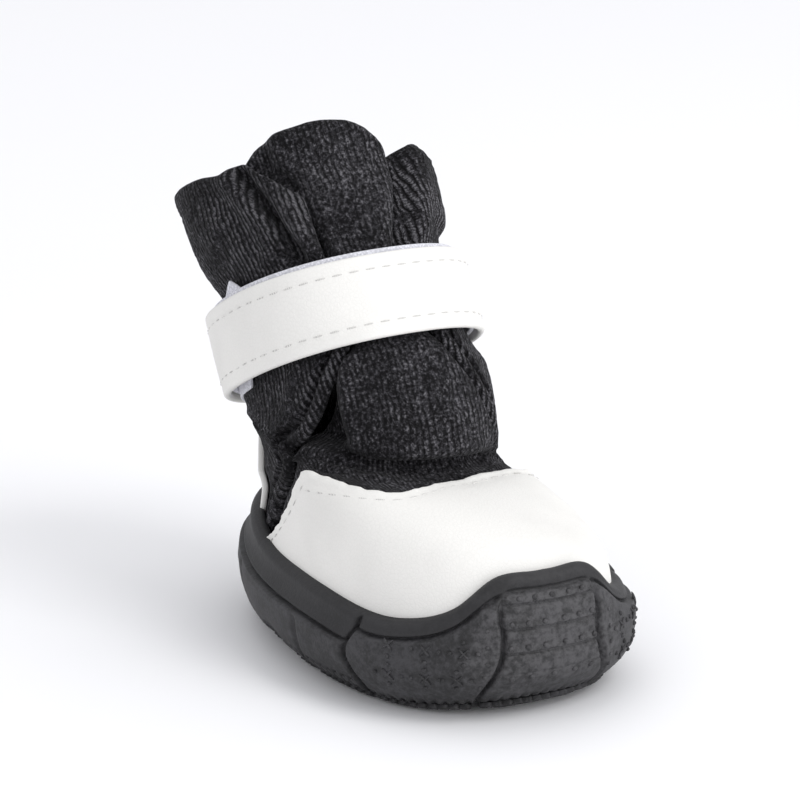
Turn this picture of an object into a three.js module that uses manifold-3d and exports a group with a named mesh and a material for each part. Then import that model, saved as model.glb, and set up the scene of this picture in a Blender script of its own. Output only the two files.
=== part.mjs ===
// Dog boot: moulded cup sole, hollow knit upper with a leaning shaft, front panel, toe cap,
// heel patch and a strap round the ankle. Millimetres, +Z up, toe towards -Y, the boot's own
// right side towards -X. The origin is on the tread under the middle of the foot.
import * as THREE from 'three';
import { mergeVertices } from 'three/addons/utils/BufferGeometryUtils.js';
import Module from 'manifold-3d';

const wasm = await Module();
wasm.setup();

// ---- driving dimensions -------------------------------------------------------------------
const SOLE_LENGTH = 78;        // over the widest part of the sidewall
const SOLE_WIDTH = 49.8;       // across the middle
const BALL_FLARE = 0.11;       // the front is wider than the heel by this share each way
const OUTLINE_POWER = 2.23;    // 2 is an ellipse, more is squarer
const SOLE_FLOOR = 4.5;        // top of the rubber under the foot
const RIM_INSET = 1.8;         // outside of the rim, in from the widest line
const RIM_WALL = 2.2;          // thickness of the rim
const RIM_ROUND = 0.7;         // how far its outer edge is rounded in
const INNER_ROUND = 0.5;       // and its inner edge
const BELLY_INSET = 0.5;       // half way up the side
const FLOOR_ROUND = 1.6;       // where the inside wall meets the floor
const GAP = 0.3;               // between pieces that touch
const UPPER_WALL = 1.8;        // knit with its lining
const INSOLE_THICK = 1.8;
const INSOLE_PLAY = 1.3;       // between its edge and the upper
const INSOLE_BEVEL = 0.4;
const CAP_THICK = 1.0;         // synthetic leather
const TONGUE_WALL = 2.0;       // padded front panel
const STRAP_THICK = 1.1;
const BACKING_THICK = 0.9;
const SHAFT_LEAN = 0.53;       // backward lean of the shaft, run over rise
const SHAFT_FOOT = { y: 13.8, z: 25.8 };
const STRAP_RISE = { low: 13.4, high: 25.1 };   // rise of the strap's edges up the shaft
const BACKING_PROUD = 0.8;     // the loop tape shows this much above the strap
const TAB_THICK = 0.8;         // hook tape on the boot's own right
const LUG_DEPTH = 1.5;
const GROOVE_WIDTH = 2.2;
const GROOVE_LENGTH = 60;
const GROOVES = [-27, -20, -13, -6.4, 14.6, 21, 27.4];     // across the tread
const CHANNELS = [-8.4, 8.4];                             // along the tread
const CHANNEL_LENGTH = 68;
const TOE_LIFT = { from: -40, to: -21, rise: 2.6 };       // toe spring
const ARCH = { from: 2, to: 11, rise: 0.9 };
const HEEL_LIFT = { from: 27, to: 40, rise: 1.6 };
const SECTION_POINTS = 56;     // round every section
const SHORTEST_EDGE = 0.06;

// Sidewall of the sole: height, and how far in from the widest line.
const SIDEWALL = [
  { z: 0.0, inset: 7.0 },
  { z: 1.3, inset: 4.3 },
  { z: 3.6, inset: 1.8 },
  { z: 6.6, inset: 0.5 },
  { z: 10.0, inset: 0.0 },
];

// Height of the rim by the angle round from the toe, the same on both sides.
const RIM = [
  { angle: 0, height: 22.5 },
  { angle: 16, height: 22.0 },
  { angle: 30, height: 17.2 },
  { angle: 48, height: 14.7 },
  { angle: 80, height: 15.6 },
  { angle: 112, height: 16.4 },
  { angle: 128, height: 17.4 },
  { angle: 142, height: 18.0 },
  { angle: 180, height: 18.4 },
];

// Sections of the upper's outside, from the lasting edge to the collar. Each one runs from a
// front point to a back point of the centre plane. taper widens its front, power squares it,
// tilt drops its own left side, and shift moves it sideways. The order of the numbers is
// frontY, frontZ, backY, backZ, half width, taper, power, tilt, shift.
function sectionRow([frontY, frontZ, backY, backZ, half, taper, power, tilt, shift]) {
  return { frontY, frontZ, backY, backZ, half, taper, power, tilt, shift };
}

const UPPER_SECTIONS = [
  [-33.4, 4.8, 33.4, 4.8, 19.4, 0.11, 2.23, 0, 0],
  [-34.6, 8.5, 34.6, 8.5, 20.5, 0.11, 2.23, 0, 0],
  [-34.7, 15.0, 34.7, 14.5, 20.6, 0.11, 2.23, 0, 0],
  [-34.0, 19.4, 34.6, 17.5, 20.4, 0.11, 2.12, 0.02, -0.15],
  [-31.6, 22.6, 34.4, 20.6, 19.9, 0.10, 1.98, 0.07, -0.3],
  [-26.8, 24.6, 34.2, 23.8, 19.3, 0.08, 1.94, 0.12, -0.45],
  [-19.8, 25.8, 34.0, 26.8, 18.8, 0.06, 2.0, 0.15, -0.45],
  [-12.0, 26.4, 34.0, 29.0, 18.3, 0.04, 2.16, 0.16, -0.4],
  [-5.6, 26.6, 34.1, 30.4, 18.0, 0.02, 2.28, 0.15, -0.25],
  [-2.6, 27.8, 34.3, 31.0, 17.9, 0.0, 2.35, 0.12, -0.1],
  [-3.0, 31.2, 34.8, 31.6, 17.8, 0.0, 2.4, 0.06, 0],
  [-2.3, 36.8, 35.6, 32.2, 17.6, 0.0, 2.35, 0.02, 0],
  [1.4, 43.2, 37.2, 33.0, 17.2, 0.0, 2.3, 0.0, -0.1],
  [4.8, 48.0, 39.2, 34.8, 16.4, 0.0, 2.2, 0, -0.2],
  [8.4, 53.4, 41.8, 37.8, 15.7, 0.0, 2.15, 0, -0.3],
  [12.4, 58.8, 44.8, 42.4, 16.1, 0.0, 2.15, 0, -0.4],
  [16.6, 64.6, 48.8, 48.6, 18.2, -0.04, 2.3, 0, -0.6],
  [20.2, 69.4, 52.2, 54.2, 18.9, -0.06, 2.3, 0, -0.7],
  [22.8, 72.8, 54.2, 57.6, 19.1, -0.08, 2.3, 0, -0.8],
].map(sectionRow);

// One more section for the front panel only, which rises above the collar.
const PANEL_TOP_SECTION = sectionRow([26.2, 78.4, 57.0, 63.0, 19.2, -0.08, 2.3, 0, -0.9]);

// Rise of the collar's edge above its last section, by the angle round from the front.
// Positive angles are the boot's own left.
const COLLAR = [
  { angle: -180, rise: 0.5 },
  { angle: -130, rise: 1.5 },
  { angle: -80, rise: 2.8 },
  { angle: -45, rise: -1.0 },
  { angle: 0, rise: -3.0 },
  { angle: 40, rise: -3.0 },
  { angle: 70, rise: 1.5 },
  { angle: 110, rise: 0.0 },
  { angle: 180, rise: 0.5 },
];

const COLLAR_SHARE = 0.4;      // the section below follows the edge by this share

// Half width of the throat between the quarters, by rise up the shaft: wide at the instep,
// pinched by the strap, wide again at the top.
const THROAT = [
  { rise: -4.0, half: 8.0 },
  { rise: -1.0, half: 13.0 },
  { rise: 3.5, half: 15.6 },
  { rise: 8.0, half: 13.6 },
  { rise: 13.0, half: 10.2 },
  { rise: 18.0, half: 8.4 },
  { rise: 25.0, half: 8.0 },
  { rise: 32.0, half: 9.6 },
  { rise: 40.0, half: 11.4 },
  { rise: 60.0, half: 12.4 },
];
const THROAT_SHIFT = -0.4;     // the throat is off the middle by this
const THROAT_REACH = -40;      // the slot starts this far in front of the shaft's axis
const THROAT_DEPTH = -3;       // and ends this far in front of it
const PANEL_UNDERLAP = 4.2;    // the front panel runs this far behind each quarter edge
const PANEL_LOWEST_RISE = -5.5;
const PANEL_DEPTH = -7.0;      // its edges end this far in front of the middle of the shaft
const PANEL_TOP = { z: 76.4, radius: 10, half: 12.8, shift: -1.9 };
const PANEL_SHOULDER = 26;     // the round top starts this far below its highest point
const PANEL_LOW = 12;          // its outline is plain down to this height
const PANEL_WIDE = 24;
const PANEL_RUN = { from: 60, to: -30 };        // how far the outline reaches front to back

// ---- small helpers ------------------------------------------------------------------------
const DEG = Math.PI / 180;
const lerp = THREE.MathUtils.lerp;
const clamp = THREE.MathUtils.clamp;
const signedPower = (value, power) => Math.sign(value) * Math.abs(value) ** power;

// Smooth value between the rows of a table.
function fromTable(rows, key, column, at) {
  const last = rows.length - 1;
  const x = clamp(at, rows[0][key], rows[last][key]);
  let i = 0;
  while (i < last - 1 && x > rows[i + 1][key]) i += 1;
  const slope = (k) => {
    const a = rows[Math.max(k - 1, 0)];
    const b = rows[Math.min(k + 1, last)];
    return (b[column] - a[column]) / (b[key] - a[key]);
  };
  const span = rows[i + 1][key] - rows[i][key];
  const t = (x - rows[i][key]) / span;
  const t2 = t * t;
  const t3 = t2 * t;
  return (2 * t3 - 3 * t2 + 1) * rows[i][column] + (t3 - 2 * t2 + t) * span * slope(i)
    + (3 * t2 - 2 * t3) * rows[i + 1][column] + (t3 - t2) * span * slope(i + 1);
}

// Angles round a section: 0 is the toe, 90 is the boot's own left.
const ANGLES = Array.from({ length: SECTION_POINTS }, (_, i) => (i * 360) / SECTION_POINTS);
const fromToe = (angle) => Math.abs(((angle + 180) % 360) - 180);

// Closed mesh through rings of points; its two ends are closed by flat fans, or the last ring
// joins the first when loop is true.
function loft(rings, loop = false) {
  const count = rings[0].length;
  const points = rings.flat();
  const index = [];
  const bands = loop ? rings.length : rings.length - 1;
  for (let r = 0; r < bands; r += 1) {
    const low = r * count;
    const high = ((r + 1) % rings.length) * count;
    for (let i = 0; i < count; i += 1) {
      const j = (i + 1) % count;
      index.push(low + i, low + j, high + j, low + i, high + j, high + i);
    }
  }
  if (!loop) {
    for (const [ring, start] of [[rings[0], 0], [rings.at(-1), (rings.length - 1) * count]]) {
      const centre = ring.reduce((sum, p) => sum.add(p), new THREE.Vector3()).divideScalar(count);
      const c = points.push(centre) - 1;
      for (let i = 0; i < count; i += 1) {
        const j = (i + 1) % count;
        if (start === 0) index.push(c, start + j, start + i);
        else index.push(c, start + i, start + j);
      }
    }
  }
  return solidFrom(points, index);
}

function solidFrom(points, index) {
  let volume = 0;
  for (let i = 0; i < index.length; i += 3) {
    const [a, b, c] = [points[index[i]], points[index[i + 1]], points[index[i + 2]]];
    volume += a.dot(new THREE.Vector3().crossVectors(b, c));
  }
  const turned = index.slice();
  if (volume < 0) {
    for (let i = 0; i < turned.length; i += 3) {
      [turned[i + 1], turned[i + 2]] = [turned[i + 2], turned[i + 1]];
    }
  }
  return new wasm.Manifold(new wasm.Mesh({
    numProp: 3,
    vertProperties: new Float32Array(points.flatMap((p) => [p.x, p.y, p.z])),
    triVerts: new Uint32Array(turned),
  }));
}

// Solid from a three.js geometry, its shared vertices merged.
function solidOf(geometry) {
  geometry.deleteAttribute('normal');
  geometry.deleteAttribute('uv');
  const merged = mergeVertices(geometry, 1e-4);
  return new wasm.Manifold(new wasm.Mesh({
    numProp: 3,
    vertProperties: new Float32Array(merged.attributes.position.array),
    triVerts: new Uint32Array(merged.index.array),
  }));
}

function boxSolid(size, centre) {
  const geometry = new THREE.BoxGeometry(...size);
  geometry.translate(...centre);
  return solidOf(geometry);
}

// Side-view outline in Y and Z, pushed out along X.
function sideExtrusion(outline, width) {
  const shape = new THREE.Shape(outline.map(([y, z]) => new THREE.Vector2(y, z)));
  const geometry = new THREE.ExtrudeGeometry(shape, { depth: width, bevelEnabled: false });
  const axes = new THREE.Matrix4().makeBasis(
    new THREE.Vector3(0, 1, 0), new THREE.Vector3(0, 0, 1), new THREE.Vector3(1, 0, 0));
  geometry.applyMatrix4(axes);
  geometry.translate(-width / 2, 0, 0);
  return solidOf(geometry);
}

// ---- sole ---------------------------------------------------------------------------------
function outlinePoint(angle, inset, z) {
  const across = signedPower(Math.sin(angle * DEG), 2 / OUTLINE_POWER);
  const along = signedPower(Math.cos(angle * DEG), 2 / OUTLINE_POWER);
  const x = (SOLE_WIDTH / 2 - inset) * across * (1 + BALL_FLARE * along);
  return new THREE.Vector3(x, -(SOLE_LENGTH / 2 - inset) * along, z);
}

const rimHeight = (angle) => fromTable(RIM, 'angle', 'height', fromToe(angle));
const outlineRing = (inset, zAt) => ANGLES.map((a) => outlinePoint(a, inset, zAt(a)));

// Rings of the sole from the edge of the tread up its outside, over the rim and down inside.
function soleRings() {
  const innerInset = RIM_INSET + RIM_WALL;
  const belt = SIDEWALL.at(-1).z;
  const up = (share) => (a) => lerp(belt, rimHeight(a), share);
  return [
    ...SIDEWALL.map((row) => outlineRing(row.inset, () => row.z)),
    outlineRing(BELLY_INSET, up(0.45)),
    outlineRing(RIM_INSET, up(0.86)),
    outlineRing(RIM_INSET + RIM_ROUND, up(1)),
    outlineRing(innerInset - INNER_ROUND, up(1)),
    outlineRing(innerInset, up(0.88)),
    outlineRing(innerInset, () => SOLE_FLOOR + FLOOR_ROUND),
    outlineRing(innerInset + FLOOR_ROUND / 2, () => SOLE_FLOOR),
  ];
}

// Toe spring, a shallow arch and the lift behind the heel, seen from the side.
function springCutter() {
  const steps = 8;
  const curve = (from, to, height) => Array.from({ length: steps }, (_, i) => {
    const t = (i + 1) / steps;
    return [lerp(from, to, t), height(t)];
  });
  const below = -4;
  const end = SOLE_LENGTH / 2 + 5;
  const skin = -0.01;
  const outline = [
    [-end, below],
    ...curve(TOE_LIFT.from, TOE_LIFT.to, (t) => TOE_LIFT.rise * (1 - t) ** 2),
    [ARCH.from, skin],
    ...curve(ARCH.from, ARCH.to, (t) => ARCH.rise * Math.sin(Math.PI * t) + skin),
    [HEEL_LIFT.from, skin],
    ...curve(HEEL_LIFT.from, HEEL_LIFT.to, (t) => HEEL_LIFT.rise * t ** 2),
    [end, below],
  ];
  return sideExtrusion(outline, SOLE_WIDTH + 20);
}

function treadCutter() {
  const grooves = GROOVES.map(
    (y) => boxSolid([GROOVE_LENGTH, GROOVE_WIDTH, 2 * LUG_DEPTH], [0, y, 0]));
  const channels = CHANNELS.map(
    (x) => boxSolid([GROOVE_WIDTH, CHANNEL_LENGTH, 2 * LUG_DEPTH], [x, 0, 0]));
  return [...grooves, ...channels].reduce((sum, piece) => sum.add(piece));
}

function makeSole() {
  return loft(soleRings()).subtract(springCutter()).subtract(treadCutter());
}

function makeInsole() {
  const edge = RIM_INSET + RIM_WALL + 2 * GAP + UPPER_WALL + INSOLE_PLAY;
  const low = SOLE_FLOOR + GAP;
  return loft([
    outlineRing(edge + INSOLE_BEVEL, () => low),
    outlineRing(edge, () => low + INSOLE_BEVEL),
    outlineRing(edge, () => low + INSOLE_THICK),
  ]);
}

// ---- upper --------------------------------------------------------------------------------
const SHAFT_AXIS = new THREE.Vector3(0, SHAFT_LEAN, 1);

function sectionPoint(row, angle) {
  const across = signedPower(Math.sin(angle * DEG), 2 / row.power);
  const along = signedPower(Math.cos(angle * DEG), 2 / row.power);
  const back = (1 - along) / 2;
  const x = row.half * across * (1 + row.taper * along);
  return new THREE.Vector3(
    x + row.shift,
    lerp(row.frontY, row.backY, back),
    lerp(row.frontZ, row.backZ, back) - row.tilt * x,
  );
}

const ringOf = (row) => ANGLES.map((angle) => sectionPoint(row, angle));

function upperOutside() {
  const rings = UPPER_SECTIONS.map(ringOf);
  const last = rings.length - 1;
  ANGLES.forEach((angle, i) => {
    const signed = angle > 180 ? angle - 360 : angle;
    const rise = fromTable(COLLAR, 'angle', 'rise', signed);
    rings[last][i].addScaledVector(SHAFT_AXIS, rise);
    rings[last - 1][i].addScaledVector(SHAFT_AXIS, rise * COLLAR_SHARE);
  });
  return rings;
}

// Every point moved along the surface's own normal.
function offsetRings(rings, distance) {
  const count = rings[0].length;
  return rings.map((ring, r) => ring.map((point, i) => {
    const before = rings[Math.max(r - 1, 0)][i];
    const after = rings[Math.min(r + 1, rings.length - 1)][i];
    const around = ring[(i + 1) % count].clone().sub(ring[(i + count - 1) % count]);
    const normal = around.cross(after.clone().sub(before)).normalize();
    return point.clone().addScaledVector(normal, distance);
  }));
}

const OUTSIDE = upperOutside();
const PANEL_SURFACE = [...UPPER_SECTIONS, PANEL_TOP_SECTION].map(ringOf);
const shell = (rings, from, to) => loft(
  [...offsetRings(rings, to), ...offsetRings(rings, from).reverse()], true);

// A slot through the front of the shaft, as wide at each height as the throat plus extra.
function throatCutter(extra, lowest, depth) {
  const rows = THROAT.map((row) => {
    const rise = row === THROAT[0] ? lowest : row.rise;
    const y = SHAFT_FOOT.y + SHAFT_LEAN * rise;
    const z = SHAFT_FOOT.z + rise;
    const half = row.half + extra;
    const corners = [
      [-half, THROAT_REACH], [half, THROAT_REACH], [half, depth], [-half, depth]];
    return corners.map(
      ([x, d]) => new THREE.Vector3(x + THROAT_SHIFT, y + d, z - d * SHAFT_LEAN));
  });
  return loft(rows);
}

function makeUpper() {
  return shell(OUTSIDE, -UPPER_WALL, 0).subtract(throatCutter(0, THROAT[0].rise, THROAT_DEPTH));
}

// Front panel: the same surface one wall further in, with a round top.
function makeTongue() {
  const outer = -UPPER_WALL - GAP;
  const strip = throatCutter(PANEL_UNDERLAP, PANEL_LOWEST_RISE, PANEL_DEPTH);
  const panel = shell(PANEL_SURFACE, outer - TONGUE_WALL, outer)
    .intersect(strip)
    .intersect(panelOutline())
    .subtract(shell(OUTSIDE, outer + GAP / 2, GAP));
  return panel.decompose().reduce((a, b) => (a.volume() > b.volume() ? a : b));
}

// The front panel seen from the front: straight sides and a round top.
function panelOutline() {
  const { z, radius, half, shift } = PANEL_TOP;
  const steps = 12;
  const round = Array.from({ length: steps + 1 }, (_, i) => {
    const a = (i / steps) * Math.PI;
    return new THREE.Vector2(half * Math.cos(a) + shift, z - radius + radius * Math.sin(a));
  });
  const wide = PANEL_WIDE;
  const shape = new THREE.Shape([
    new THREE.Vector2(-wide, PANEL_LOW), new THREE.Vector2(wide, PANEL_LOW),
    new THREE.Vector2(wide, z - PANEL_SHOULDER), ...round,
    new THREE.Vector2(-wide, z - PANEL_SHOULDER),
  ]);
  const run = PANEL_RUN.from - PANEL_RUN.to;
  const geometry = new THREE.ExtrudeGeometry(shape, { depth: run, bevelEnabled: false });
  const axes = new THREE.Matrix4().makeBasis(
    new THREE.Vector3(1, 0, 0), new THREE.Vector3(0, 0, 1), new THREE.Vector3(0, -1, 0));
  geometry.applyMatrix4(axes);
  geometry.translate(0, PANEL_RUN.from, 0);
  return solidOf(geometry);
}

// ---- overlays -----------------------------------------------------------------------------
// Everything under the rim, with a gap: what an overlay is trimmed by where it meets the sole.
function soleEnvelope() {
  const outside = -2;
  const inside = RIM_INSET + RIM_WALL + 3;
  const below = -5;
  const top = (angle) => rimHeight(angle) + GAP;
  return loft([
    outlineRing(outside, () => below),
    outlineRing(outside, top),
    outlineRing(inside, top),
  ]);
}

// Rear edge of the toe cap at mid height: how far back it reaches, by distance across.
const CAP_EDGE = [
  { across: -27, y: 7.4 },
  { across: -21, y: 5.4 },
  { across: -17, y: 2.2 },
  { across: -9, y: -3.2 },
  { across: 0, y: -5.0 },
  { across: 9, y: -3.4 },
  { across: 17, y: 1.4 },
  { across: 21, y: 4.6 },
  { across: 27, y: 7.4 },
];
const CAP_EDGE_SLANT = -0.42;  // the side edges lean forward as they rise
const CAP_EDGE_MIDDLE = 24;
const CAP_BLOCK = { front: -50, height: 40 };

function makeToeCap() {
  const cover = shell(OUTSIDE, GAP, GAP + CAP_THICK);
  const edge = sideEdge(CAP_EDGE);
  return cover.intersect(edge).subtract(soleEnvelope());
}

// Block in front of a rear edge that is a curve across the boot.
function sideEdge(rows) {
  const steps = 24;
  const first = rows[0].across;
  const last = rows.at(-1).across;
  const rear = Array.from({ length: steps + 1 }, (_, i) => {
    const across = lerp(first, last, i / steps);
    return new THREE.Vector2(across, fromTable(rows, 'across', 'y', across));
  });
  const shape = new THREE.Shape([
    new THREE.Vector2(last, CAP_BLOCK.front), ...rear.reverse(),
    new THREE.Vector2(first, CAP_BLOCK.front)]);
  const depth = CAP_BLOCK.height;
  const geometry = new THREE.ExtrudeGeometry(shape, { depth, bevelEnabled: false });
  const position = geometry.attributes.position;
  for (let i = 0; i < position.count; i += 1) {
    const z = position.getZ(i);
    position.setY(i, position.getY(i) + CAP_EDGE_SLANT * (z - CAP_EDGE_MIDDLE));
  }
  return solidOf(geometry);
}

// Heel patch seen from the side: its front edge slants, its top follows the ankle.
const HEEL_OUTLINE = [[23.5, 4], [60, 4], [60, 31.6], [38, 32], [30, 30], [25.5, 25]];

function makeHeelPatch() {
  const cover = shell(OUTSIDE, GAP, GAP + CAP_THICK);
  return cover.intersect(sideExtrusion(HEEL_OUTLINE, SOLE_LENGTH)).subtract(soleEnvelope());
}

// ---- strap --------------------------------------------------------------------------------
// A loop round the shaft. off is how far its inside stands from a snug fit, by the angle
// round from the front; it leaves room for the tab on the boot's own right.
const STRAP_LOOP = [
  { angle: -180, off: 0.4 },
  { angle: -135, off: 0.9 },
  { angle: -90, off: 1.3 },
  { angle: -50, off: 0.9 },
  { angle: 0, off: 0.4 },
  { angle: 60, off: 0.35 },
  { angle: 110, off: 0.3 },
  { angle: 180, off: 0.4 },
];
const SNUG = {
  half: 16.6,
  front: 19.2,
  frontHigh: 17.8,
  back: 20.0,
  backHigh: 21.0,
  power: 2.24,
  shift: -0.3,
};
const LEAN_COS = 1 / Math.hypot(1, SHAFT_LEAN);

function shaftRing(rise, off) {
  const y = SHAFT_FOOT.y + SHAFT_LEAN * rise;
  const z = SHAFT_FOOT.z + rise;
  const share = clamp((rise - STRAP_RISE.low) / (STRAP_RISE.high - STRAP_RISE.low), 0, 1);
  const front = lerp(SNUG.front, SNUG.frontHigh, share);
  const back = lerp(SNUG.back, SNUG.backHigh, share);
  return ANGLES.map((angle) => {
    const across = signedPower(Math.sin(angle * DEG), 2 / SNUG.power);
    const along = signedPower(Math.cos(angle * DEG), 2 / SNUG.power);
    const stand = off + fromTable(STRAP_LOOP, 'angle', 'off', angle > 180 ? angle - 360 : angle);
    const d = -((along > 0 ? front : back) + stand) * along * LEAN_COS;
    return new THREE.Vector3((SNUG.half + stand) * across + SNUG.shift, y + d, z - d * SHAFT_LEAN);
  });
}

function band(inner, outer, low, high) {
  return loft([
    shaftRing(low, inner), shaftRing(low, outer), shaftRing(high, outer), shaftRing(high, inner),
  ], true);
}

function makeStrap() {
  const inner = BACKING_THICK + GAP;
  return band(inner, inner + STRAP_THICK, STRAP_RISE.low, STRAP_RISE.high);
}

function makeBacking() {
  return band(0, BACKING_THICK, STRAP_RISE.low + BACKING_PROUD, STRAP_RISE.high + BACKING_PROUD);
}

// Hook tape under the strap, on the boot's own right: its corners show above and below.
const TAB_OUTLINE = [[28.8, 32.6], [22.8, 37.0], [25.6, 51.8], [28.4, 54.0], [34.0, 47.6]];
const TAB_BLOCK = { size: [60, 120, 120], centre: [24, 30, 40] };  // what its side stays clear of

function makeTab() {
  const side = sideExtrusion(TAB_OUTLINE, SOLE_WIDTH);
  const cover = shell(OUTSIDE, GAP, GAP + TAB_THICK);
  return cover.intersect(side).subtract(boxSolid(TAB_BLOCK.size, TAB_BLOCK.centre));
}

// ---- assembly -----------------------------------------------------------------------------
const rubber = { color: 0x38383b, roughness: 0.72, metalness: 0 };
const foam = { color: 0x2a2a2d, roughness: 0.9, metalness: 0 };
const knit = { color: 0x202023, roughness: 0.95, metalness: 0 };
const whiteLeather = { color: 0xf1f0ea, roughness: 0.55, metalness: 0 };
const greyTape = { color: 0xc6c6d0, roughness: 0.9, metalness: 0 };

// Triangles of a cut solid, with the slivers that cutting leaves along its edges closed up.
function withoutSlivers(points, triangles) {
  const same = points.map((_, i) => i);
  const root = (i) => {
    let at = i;
    while (same[at] !== at) at = same[at];
    return at;
  };
  for (const triangle of triangles) {
    for (let k = 0; k < 3; k += 1) {
      const a = root(triangle[k]);
      const b = root(triangle[(k + 1) % 3]);
      const close = points[a].distanceTo(points[b]) < SHORTEST_EDGE;
      if (a !== b && close) same[Math.max(a, b)] = Math.min(a, b);
    }
  }
  const kept = triangles.map((triangle) => triangle.map(root));
  return kept.filter(([a, b, c]) => a !== b && b !== c && c !== a);
}

function meshOf(name, solid, finish) {
  const mesh = solid.getMesh();
  const points = Array.from({ length: mesh.numVert }, (_, i) => (
    new THREE.Vector3().fromArray(mesh.vertProperties, mesh.numProp * i)));
  const triangles = Array.from({ length: mesh.numTri }, (_, i) => (
    Array.from(mesh.triVerts.subarray(3 * i, 3 * i + 3))));
  const geometry = new THREE.BufferGeometry();
  geometry.setFromPoints(points);
  geometry.setIndex(withoutSlivers(points, triangles).flat());
  geometry.computeVertexNormals();
  const item = new THREE.Mesh(geometry, new THREE.MeshStandardMaterial(finish));
  item.name = name;
  return item;
}

const group = new THREE.Group();
group.add(meshOf('sole', makeSole(), rubber));
group.add(meshOf('insole', makeInsole(), foam));
group.add(meshOf('upper', makeUpper(), knit));
group.add(meshOf('tongue', makeTongue(), knit));
group.add(meshOf('toe_cap', makeToeCap(), whiteLeather));
group.add(meshOf('heel_patch', makeHeelPatch(), whiteLeather));
group.add(meshOf('strap', makeStrap(), whiteLeather));
group.add(meshOf('strap_backing', makeBacking(), greyTape));
group.add(meshOf('hook_tab', makeTab(), greyTape));

export default group;
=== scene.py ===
"""Dog boot: moulded rubber cup sole, ribbed knit upper with a front panel, leather toe cap,
heel patch and ankle strap. Laid out as an add-on; lengths inside are millimetres."""
import math

import bmesh
import bpy
import numpy as np
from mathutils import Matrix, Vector


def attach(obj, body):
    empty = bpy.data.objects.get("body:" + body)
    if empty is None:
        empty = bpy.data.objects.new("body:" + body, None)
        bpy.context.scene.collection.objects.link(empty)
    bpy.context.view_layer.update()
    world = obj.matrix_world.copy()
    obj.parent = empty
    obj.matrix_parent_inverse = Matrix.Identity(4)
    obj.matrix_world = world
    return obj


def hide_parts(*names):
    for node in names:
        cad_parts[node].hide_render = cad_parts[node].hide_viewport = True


bl_info = {
    "name": "Dog boot",
    "version": (1, 0, 0),
    "blender": (4, 5, 0),
    "location": "View3D > Sidebar > Dog boot",
    "description": "Builds a knit dog boot with a rubber cup sole and a leather strap",
    "category": "Add Mesh",
}

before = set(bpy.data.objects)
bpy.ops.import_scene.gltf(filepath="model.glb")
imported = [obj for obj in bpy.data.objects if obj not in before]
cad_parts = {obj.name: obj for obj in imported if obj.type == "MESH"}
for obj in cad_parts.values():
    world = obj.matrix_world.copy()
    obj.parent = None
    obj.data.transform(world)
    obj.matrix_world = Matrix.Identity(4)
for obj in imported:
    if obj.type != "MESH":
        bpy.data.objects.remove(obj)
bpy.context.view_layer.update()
MM = 0.001

# ---- sizes, in millimetres ------------------------------------------------------------------
SOLE_HALF = (24.9, 39.0)        # half the width and half the length of the sole
BALL_FLARE = 0.11               # the front is wider than the heel by this share each way
OUTLINE_POWER = 2.23
SOLE_FLOOR = 4.5                # top of the rubber inside the cup
RIM_INSET = 1.8                 # of the rim's outer face
RIM_WALL = 2.2
KNIT_WALL = 1.8
SHAFT_LEAN = 0.53
SHAFT_FOOT = (13.8, 25.8)       # where the shaft's axis starts, in Y and Z
STRAP_LOW = 13.4                # rise of the strap's edges up the shaft
STRAP_HIGH = 25.1
STRAP_THICK = 1.15
STRAP_OFF = 1.15                # from the knit to the inside of the strap
TAPE_THICK = 0.9                # of the loop tape behind the strap
TAPE_PROUD = 0.8                # how far it shows above the strap
HOOK_THICK = 0.7                # of the slanted hook tape
CAP_OFF = 0.35                  # from the knit to the inside of the cap
GROOVE_AT = 1.9                 # sewn groove, in from the edge of a leather piece
GROOVE_WIDE = 0.32
LASTING_LEVEL = 0.9             # level of the leather pieces' lower edges
THREAD = 0.00027                # in metres
RIB_PITCH = 0.92                # between the ribs of the knit
STITCH_HEIGHT = 0.55            # along a rib
KNIT_GIRTH = 118.0              # round the shaft, for the number of ribs

# Sidewall: height and distance in from the widest line.
SIDEWALL = [(0.0, 7.0), (1.3, 4.3), (3.6, 1.8), (6.6, 0.5), (10.0, 0.0)]
# Height of the rim by the angle round from the toe.
RIM = [(0, 22.5), (16, 22.0), (30, 17.2), (48, 14.7), (80, 15.6), (112, 16.4), (128, 17.4),
       (142, 18.0), (180, 18.4)]

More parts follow.
